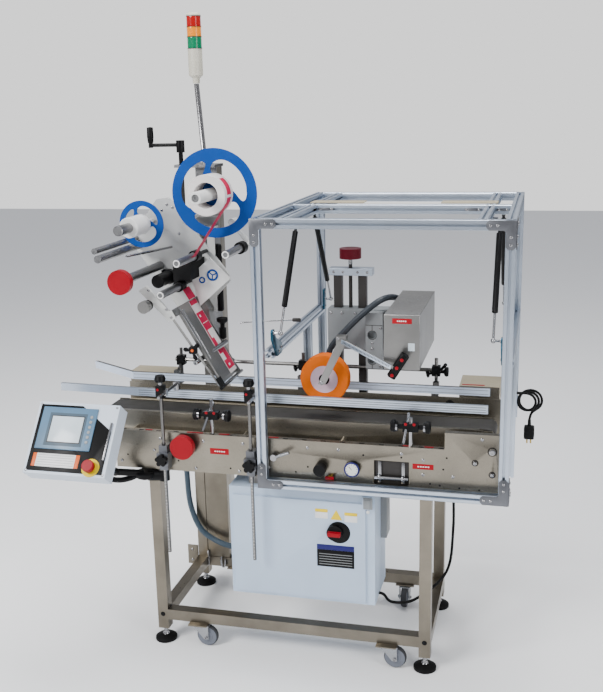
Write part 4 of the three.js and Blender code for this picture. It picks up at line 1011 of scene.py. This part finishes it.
def make_label_head():
    web, red, white = Shape(), Shape(), Shape()
    slab(web, 4, 284, 168, 236, 5.2, 0.5)
    for d0, d1, y0, y1 in ((4, 20, 171, 233), (50, 118, 171, 233), (118, 150, 171, 182), (150, 210, 171, 200),
                           (196, 236, 200, 233), (236, 270, 171, 233)):
        slab(red, d0, d1, y0, y1, 5.9, 0.3)
    for d0, d1, y0, y1 in ((60, 68, 186, 196), (90, 92, 178, 226), (252, 260, 190, 204)):
        slab(white, d0, d1, y0, y1, 6.3, 0.2)
    web.make("label_web", "label_head", "label_paper")
    red.make("label_prints", "label_head", "label_pink", "label_paper")
    white.make("label_blanks", "label_head", "white_plastic", "label_paper")

    run = Shape()
    for a, b, y0, y1 in (((272, 0, 1520), (150, 0, 1345), 112, 148),
                         ((88, 0, 1228), (110, 0, 1192), 170, 232)):
        a, b = Vector(a), Vector(b)
        side = (b - a).cross(Vector(TO_BACK)).normalized()
        run.plate([(0, y0), ((b - a).length, y0), ((b - a).length, y1), (0, y1)],
                  lambda u, v, w, a=a, b=b, side=side: a + (b - a).normalized() * u
                  + Vector((0, v, 0)) + side * w, 0.6, 0.1)
    run.make("label_run", "label_head", "label_pink", "label_paper")
    Shape().lathe(
        [(0, -6), (13, -6), (15.2, -4), (15.2, 286), (0, 286)], (-36, 0, 1288), TO_BACK, 32
    ).make("drive_roller_sleeve", "drive_roller", "satin_steel", "red_plastic")
    motor = Shape()
    motor.lathe([(0, 0), (20, 0), (23, 3), (23, 92), (26, 94), (26, 116), (20, 118), (0, 118)],
                (0, 168, 1252), TO_BACK, 32)
    motor.box(-24, 62, 262, 288, 1232, 1276, 3)
    motor.make("head_motor", "label_head", "black_plastic", "head_paint")

    cover, blue = Shape(), Shape()
    face = [(97, 1267), (169, 1327), (239, 1258), (126, 1159)]
    cover.plate(face, lambda u, v, w: (u, 232 + w, v), 3, 0.8)
    cover.make("head_cover", "label_head", "white_plastic", "head_paint")
    blue.ring((176, 231, 1268), TO_BACK, 17, 3.4, 36, 8)
    for k in range(3):
        a = 2 * math.pi * k / 3 + 0.4
        blue.bar((176, 231.4, 1268), (176 + 15 * math.cos(a), 231.4, 1268 + 15 * math.sin(a)), 2.2, 0.3, 8)
    blue.ring((138, 231, 1250), TO_BACK, 9, 2.6, 28, 8)
    blue.make("head_cover_marks", "label_head", "blue_plastic", "head_paint")

    for body, x, z in (("guide_roller_upper", 137, 1342), ("guide_roller_lower", 76, 1238),
                       ("dancer_arm", 302, 1373)):
        Shape().ring(
            (x, 5.6, z), TO_BACK, 9.8, 2.6, 32, 8
        ).make(f"{body}_end", body, "white_plastic", "satin_steel")

    screws = Shape()
    for x, z in ((0, 1500), (20, 1490), (60, 1440), (-110, 1372), (-100, 1330), (180, 1262), (196, 1240),
                 (120, 1150), (60, 1140), (40, 1400), (-20, 1480)):
        screws.screw((x, 290, z), TO_FRONT, 5, 3)
    for d in (-92, -10, 20):
        x, y, z = slope(d, -30 if d < -50 else -10, 20)
        screws.screw((x, y, z), TO_FRONT, 4.6, 3)
    screws.make("head_screws", "label_head", "bright_steel")

    bars = Shape()
    bars.bar((-58, 60, 1354), (12, 286, 1354), 4)
    bars.bar(slope(6, 22, 40), slope(150, 22, 40), 2.4)
    bars.bar(slope(16, 34, 32), slope(200, 30, 36), 2.4)
    bars.bar((172, 36, 1010), (214, 236, 1036), 8.5)
    bars.bar((251, 280, 1093), (300, 288, 1098), 2.6)
    bars.bar((300, 288, 1098), (440, 296, 1106), 2.6)
    bars.make("head_rods", "label_head", "bright_steel", "satin_steel")
    knobs = Shape()
    knobs.lathe([(0, 0), (18, 0), (20, 4), (19, 12), (10, 20), (8, 24), (8, 34), (13, 36), (13, 70), (9, 74),
                 (0, 74)], (191, 268, 1112), (0, 0, -1), 24)
    knobs.box(152, 178, 30, 54, 1040, 1064, 4)
    for a in (50, 170, 290):
        way = (math.cos(math.radians(a)), 0, math.sin(math.radians(a)))
        knobs.lathe([(0, 0), (5, 0), (5, 14), (8, 24), (5, 31), (0, 32)], (165, 36, 1050), way, 14)
    knobs.lathe([(0, 0), (16, 0), (18, 3), (18, 14), (0, 16)], (34, -14, 1206), TO_BACK, 28)
    knobs.box(158, 184, 303.5, 322, 1125, 1364, 9)
    knobs.make("head_clamps", "label_head", "black_plastic")
    Shape().bar(
        (166, 29.4, 1053), (166, 28, 1053), 5, 0.4, 16
    ).make("wing_knob_centre", "label_head", "orange_label", "satin_steel")
    Shape().box(
        436, 466, 290, 298, 1100, 1114, 5
    ).make("label_sensor", "label_head", "dark_steel", "satin_steel")
    grip = knurl(30, 19.3, 0.7, lambda u, w: ((34 + u, -38.5, 1206 + w), (34 + u, -17.5, 1206 + w)))
    grip.make("side_knob_knurl", "label_head", "bright_steel", "satin_steel")


# ------------------------------------------------------------------ press station details

def make_press():
    screws, marks = Shape(), Shape()
    for x in (580, 612, 662, 695):
        screws.screw((x, 308, 1274), TO_FRONT, 4.6, 2.8)
    for x in (572, 610, 655):
        screws.screw((x, 296, 1136), TO_FRONT, 5, 3)
        screws.screw((x, 296, 1024), TO_FRONT, 5, 3)
    for x, z in ((719, 1044), (719, 1024), (748, 1096), (748, 964)):
        screws.screw((x, 262, z), TO_FRONT, 4.6, 2.8)
    screws.make("press_screws", "press_carriage", "bright_steel")
    slits = Shape()
    for z0, z1 in ((1084, 1104), (954.5, 969)):
        slits.box(717.8, 720.2, 261.7, 262.4, z0, z1, 0)
    slits.box(697.6, 754.4, 261.7, 262.4, 1103, 1105, 0)
    slits.make("clamp_slits", "press_carriage", "dark_steel", "head_paint")
    collars = Shape()
    for z in (1070, 983):
        collars.ring((719, 262.4, z), TO_BACK, 15.4, 0.9, 40, 6)
    collars.make("clamp_bores", "press_carriage", "dark_steel", "head_paint")
    lead = Shape()
    for k in range(46):
        z = 1020 + 5 * k
        lead.ring((634, 330, z), UP, 6.2, 0.5, 16, 6)
    lead.make("lead_screw_thread", "press_height_knob", "dark_steel", "red_plastic")
    grip = knurl(48, 36.3, 0.7, lambda u, w: ((634 + u, 330 + w, 1323), (634 + u, 330 + w, 1347)))
    grip.make("press_knob_knurl", "press_height_knob", "maroon", "red_plastic")

    label, seam, window = Shape(), Shape(), Shape()
    label.box(827, 887, -0.9, 0.2, 1172, 1188, 0.3)
    label.make("motor_label", "press_carriage", "label_red", "stainless")
    for k in range(5):
        marks.box(842 + 6 * k, 846 + 6 * k, -1.4, -0.8, 1178, 1182, 0.1)
    marks.make("motor_label_marks", "press_carriage", "white_plastic", "stainless")
    window.box(876, 896, -0.8, 0.2, 1088, 1112, 0.3)
    window.make("motor_sticker", "press_carriage", "screen", "stainless")
    for z in (1028.2, 1197.8):
        seam.box(802, 910, 1, 399, z - 0.4, z + 0.4, 0.1)
    seam.make("motor_box_seams", "press_carriage", "dark_steel", "stainless")

    tyre, disc = Shape(), Shape()
    tyre.lathe([(46, 0.4), (74, 0.4), (79, 2.2), (80.7, 6), (80.7, 42), (79, 45.8), (74, 47.6), (46, 47.6),
                (44, 44), (44, 4), (46, 0.4)], (585, 116, 951), TO_BACK, 72)
    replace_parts(tyre.make("press_wheel_tyre", "press_wheel", "orange_foam"), "press_wheel")
    disc.lathe([(0, 2.4), (42, 2.4), (45.4, 1.2), (46.4, 2.6), (46.4, 45.4), (42, 46.6), (0, 46.6)],
               (585, 116, 951), TO_BACK, 64)
    disc.make("press_wheel_disc", "press_wheel", "lilac", "orange_foam")
    hub, ticks = Shape(), Shape()
    hub.ring((585, 118, 951), TO_BACK, 14.5, 3.4, 36, 8)
    hub.lathe([(0, 5), (10, 5), (12, 2), (12, 0), (0, 0)], (585, 118.4, 951), TO_FRONT, 24)
    hub.make("press_wheel_hub", "press_wheel", "black_plastic")
    a, b = Vector((655, 66, 1096)), Vector((838, -36, 1042))
    side = (b - a).cross(Vector(UP)).normalized()
    for k in range(34):
        p = a + (b - a) * (0.06 + 0.026 * k)
        q = p + side * 6.2
        ticks.box(q.x - 0.9, q.x + 0.9, q.y - 0.3, q.y + 0.3, q.z - 3, q.z + 3, 0)
    ticks.make("press_arm_ruler", "press_arm", "black_plastic", "satin_steel")
    ruler = Shape()
    length = (b - a).length
    along, tall = (b - a).normalized(), Vector(UP)
    rise = (tall - along * tall.dot(along)).normalized()
    ruler.plate([(4, -7), (length - 8, -7), (length - 8, 7), (4, 7)],
                lambda u, v, w: a + along * u + rise * v + side * (4.4 + w), 1.6, 0.3)
    ruler.make("press_arm_scale", "press_arm", "aluminium", "satin_steel")
    clamp, red = Shape(), Shape()
    clamp.bar((828, -31, 1012), (872, -31, 1084), 15, 2, 6)
    clamp.make("press_arm_clamp", "press_arm", "black_plastic")
    for t in (0.12, 0.45, 0.8):
        x, z = 828 + 44 * t, 1012 + 72 * t
        red.bar((x, -44.5, z), (x, -46.5, z), 5.4, 0.6, 18)
    red.make("press_arm_accents", "press_arm", "red_plastic", "satin_steel")
    screws = Shape()
    screws.screw((645, 60, 1104), TO_FRONT, 4.6, 2.8)
    screws.screw((662, 60, 1096), TO_FRONT, 4.6, 2.8)
    screws.screw((585, 78, 951), TO_FRONT, 6, 3)
    screws.make("press_arm_screws", "press_arm", "bright_steel")


# ------------------------------------------------------------------ control panel details

def panel_point(u, v, w):
    """Point on the sloping panel: across, outward from its face and up."""
    return (-183 + u, -173 - 0.781 * v + 0.625 * w, 798 + 0.625 * v + 0.781 * w)


def panel_slab(shape, u0, u1, w0, w1, low, high, r=0.8):
    outline = [(u0, w0), (u1, w0), (u1, w1), (u0, w1)]
    shape.plate(outline, lambda u, w, d: panel_point(u, low + d, w), high - low, r)


def make_panel():
    def piece(name, material, *slabs):
        shape = Shape()
        for s in slabs:
            panel_slab(shape, *s)
        return shape.make(name, "control_panel", material, "cabinet_paint")

    decal = Shape()
    opening = [(88 + 14 * math.cos(a), -92 + 14 * math.sin(a))
               for a in (math.pi * (1 - k / 12) for k in range(13))]
    outline = [(-134, -113), (74, -113), *opening, (102, -113), (131, -113), (131, 32), (14, 113),
               (-134, 113)]
    decal.plate(outline, lambda u, w, d: panel_point(u, 0.1 + d, w), 0.5, 0.1)
    decal.make("panel_decal", "control_panel", "black_plastic", "cabinet_paint")
    piece("panel_bezel", "bezel_blue", (-121, 72, -40, 104, 0.5, 5.5, 2.2))
    piece("panel_recess", "conduit", (-92, 40, -28, 84, 5.3, 6.1, 0.4))
    piece("panel_display_frame", "dark_steel", (-83, 33, -18, 75, 6.0, 6.6, 0.3))
    piece("panel_display", "screen", (-80, 30, -15, 72, 6.4, 7.0, 0.2))
    piece("panel_label", "white_plastic", (-119, 44, -98, -54, 0.6, 1.2, 0.2))
    piece("panel_label_band", "orange_label", (-119, -106, -98, -54, 1.2, 1.5, 0.1),
          (30, 44, -98, -54, 1.2, 1.5, 0.1))
    piece("panel_label_lines", "press_paint", *[(-102, 26, w, w + 1.2, 1.2, 1.5, 0.05)
                                                for w in (-92, -84, -76, -68, -60)])
    keys = Shape()
    for k in range(6):
        w = 74 - 17 * k
        keys.lathe([(0, 2.4), (4.6, 2.2), (5.6, 1.2), (5.6, -0.4), (0, -0.4)],
                   panel_point(56, 5.6, w), Vector(panel_point(0, 1, 0)) - Vector(panel_point(0, 0, 0)), 20)
    keys.make("panel_keys", "control_panel", "press_paint", "cabinet_paint")
    ring = Shape()
    out = Vector(panel_point(0, 1, 0)) - Vector(panel_point(0, 0, 0))
    ring.lathe([(12.9, 0.2), (30, 0.2), (30, 1.4), (29, 2.4), (14, 2.4), (12.9, 0.2)],
               panel_point(88, 0, -92), out, 48)
    ring.make("estop_ring", "control_panel", "yellow", "cabinet_paint")
    screws = Shape()
    for u, w in ((-133, 113), (133, 113), (-133, -113), (133, -113)):
        screws.screw(panel_point(u, 0, w), out, 4, 2.4)
    screws.make("panel_screws", "control_panel", "bright_steel")
    arm = Shape()
    arm.tube([(-150, -62, 634), (-118, -61, 622), (-79, -60, 620), (-42, -54, 628), (-16, -44, 640),
              (0, -36, 646)], 9.5, 16)
    arm.lathe([(0, -16), (24, -16), (33, -11), (35, -4), (35, 3), (31, 8), (0, 8)], (3, -32, 640), UP, 40)
    arm.make("panel_arm_bend", "control_panel", "black_plastic", "cabinet_paint")
    Shape().bar(
        panel_point(128, 5, 60), panel_point(126, 5, -66), 3.4
    ).make("panel_stylus", "control_panel", "bright_steel", "cabinet_paint")


# ------------------------------------------------------------------ cabinet details

def make_cabinet():
    y = -10.1

    def piece(name, material, *slabs):
        shape = Shape()
        for x0, x1, z0, z1, low, high in slabs:
            shape.box(x0, x1, y - high, y - low, z0, z1, 0.15)
        return shape.make(name, "cabinet_door", material, "cabinet_paint")

    piece("cabinet_stickers", "white_plastic", (577, 619, 519, 541, 0, 0.5), (674, 716, 513, 535, 0, 0.5))
    piece("cabinet_sticker_tops", "yellow", (577, 619, 541.4, 552, 0, 0.5), (674, 716, 535.4, 546, 0, 0.5))
    Shape().plate(
        [(628, 518), (666, 518), (647, 552)], lambda u, v, w: (u, y - w, v), 0.6, 0.1
    ).make("cabinet_sign", "cabinet_door", "yellow", "cabinet_paint")
    piece("notice_top", "navy", (581, 705, 410, 428, 0, 0.8))
    piece("notice_plate", "black_plastic", (581, 705, 350, 409.6, 0, 0.8))
    piece("notice_lines", "press_paint", *[(588, 698, 358 + 9 * k, 360 + 9 * k, 0.8, 1.0) for k in range(5)])
    latch = Shape()
    latch.box(736, 766, -14, -10.2, 563, 602, 2.5)
    latch.box(742, 760, -16.5, -13, 568, 596, 2)
    latch.make("cabinet_latch", "cabinet_door", "press_paint", "cabinet_paint")
    Shape().lathe(
        [(0, 2.5), (4, 2.5), (6, 0), (0, 0)], (751, -10, 553), TO_FRONT, 18
    ).make("latch_plug", "cabinet_door", "white_plastic", "cabinet_paint")
    Shape().lathe(
        [(0, 1.4), (36, 1.4), (38, 0.2), (38, -0.4), (0, -0.4)], (655, -10, 474), TO_FRONT, 40
    ).make("disconnect_base", "cabinet_door", "black_plastic", "cabinet_paint")


# ------------------------------------------------------------------ mains cord with its plug

def make_cord():
    route = [(774, 60, 236), (790, 62, 230), (815, 90, 190), (880, 200, 150), (968, 360, 180),
             (985, 420, 320), (985, 430, 560), (1020, 470, 700), (1100, 610, 762), (1168, 730, 752),
             (1192, 780, 739), (1220, 797, 734)]
    points = spline([Vector(p) for p in route], 8)
    sweep, steps = 870, 58
    for k in range(1, steps + 1):
        part = k / steps
        a = math.radians(90 - sweep * part)
        reach = 34 + 8 * part
        points.append(Vector((1220 + 20 * part + reach * math.cos(a), 797 + 30 * part,
                              700 + reach * math.sin(a))))
    drop = [(1244, 820, 651), (1237, 812, 632), (1236, 806, 612), (1236, 806, 600)]
    points += spline([points[-1]] + [Vector(p) for p in drop], 5)[1:]
    metres = [at(*p) for p in points]
    curve = bpy.data.curves.new("mains_cord", "CURVE")
    curve.dimensions = "3D"
    curve.bevel_depth = 0.005
    curve.bevel_resolution = 3
    curve.use_fill_caps = True
    line = curve.splines.new("POLY")
    line.points.add(len(metres) - 1)
    for point, p in zip(line.points, metres):
        point.co = (*p, 1)
    curve.materials.append(MATERIALS["black_rubber"])
    cord = bpy.data.objects.new("mains_cord", curve)
    bpy.context.collection.objects.link(cord)
    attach(cord, "machine_base")
    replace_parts(cord, "power_cord", "cord_coil")

    plug = Shape()
    plug.lathe([(0, 0), (5.6, 0), (6.4, 14), (6.4, 16), (8, 30), (0, 30)], (1236, 806, 628), (0, 0, -1), 20)
    plug.box(1216.5, 1255.5, 790.5, 821.5, 549, 602, 6, segments=3)
    for z in (566, 576, 586):
        plug.box(1216, 1256, 790, 822, z, z + 2.5, 0.8)
    body = plug.make("plug_body", BASE, "black_plastic")
    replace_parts(body, "power_plug")
    pins = Shape()
    for x in (1229, 1243):
        pins.box(x - 3, x + 3, 805.2, 806.8, 530.5, 550, 0.4)
    pins = pins.make("plug_pins", BASE, "brass", "black_plastic")


make_camera()
make_studio()
make_cord()
make_guard()
finish_nodes()
make_reels()
make_stand()
make_stack_light()
make_conveyor()
make_label_head()
make_press()
make_panel()
make_cabinet()
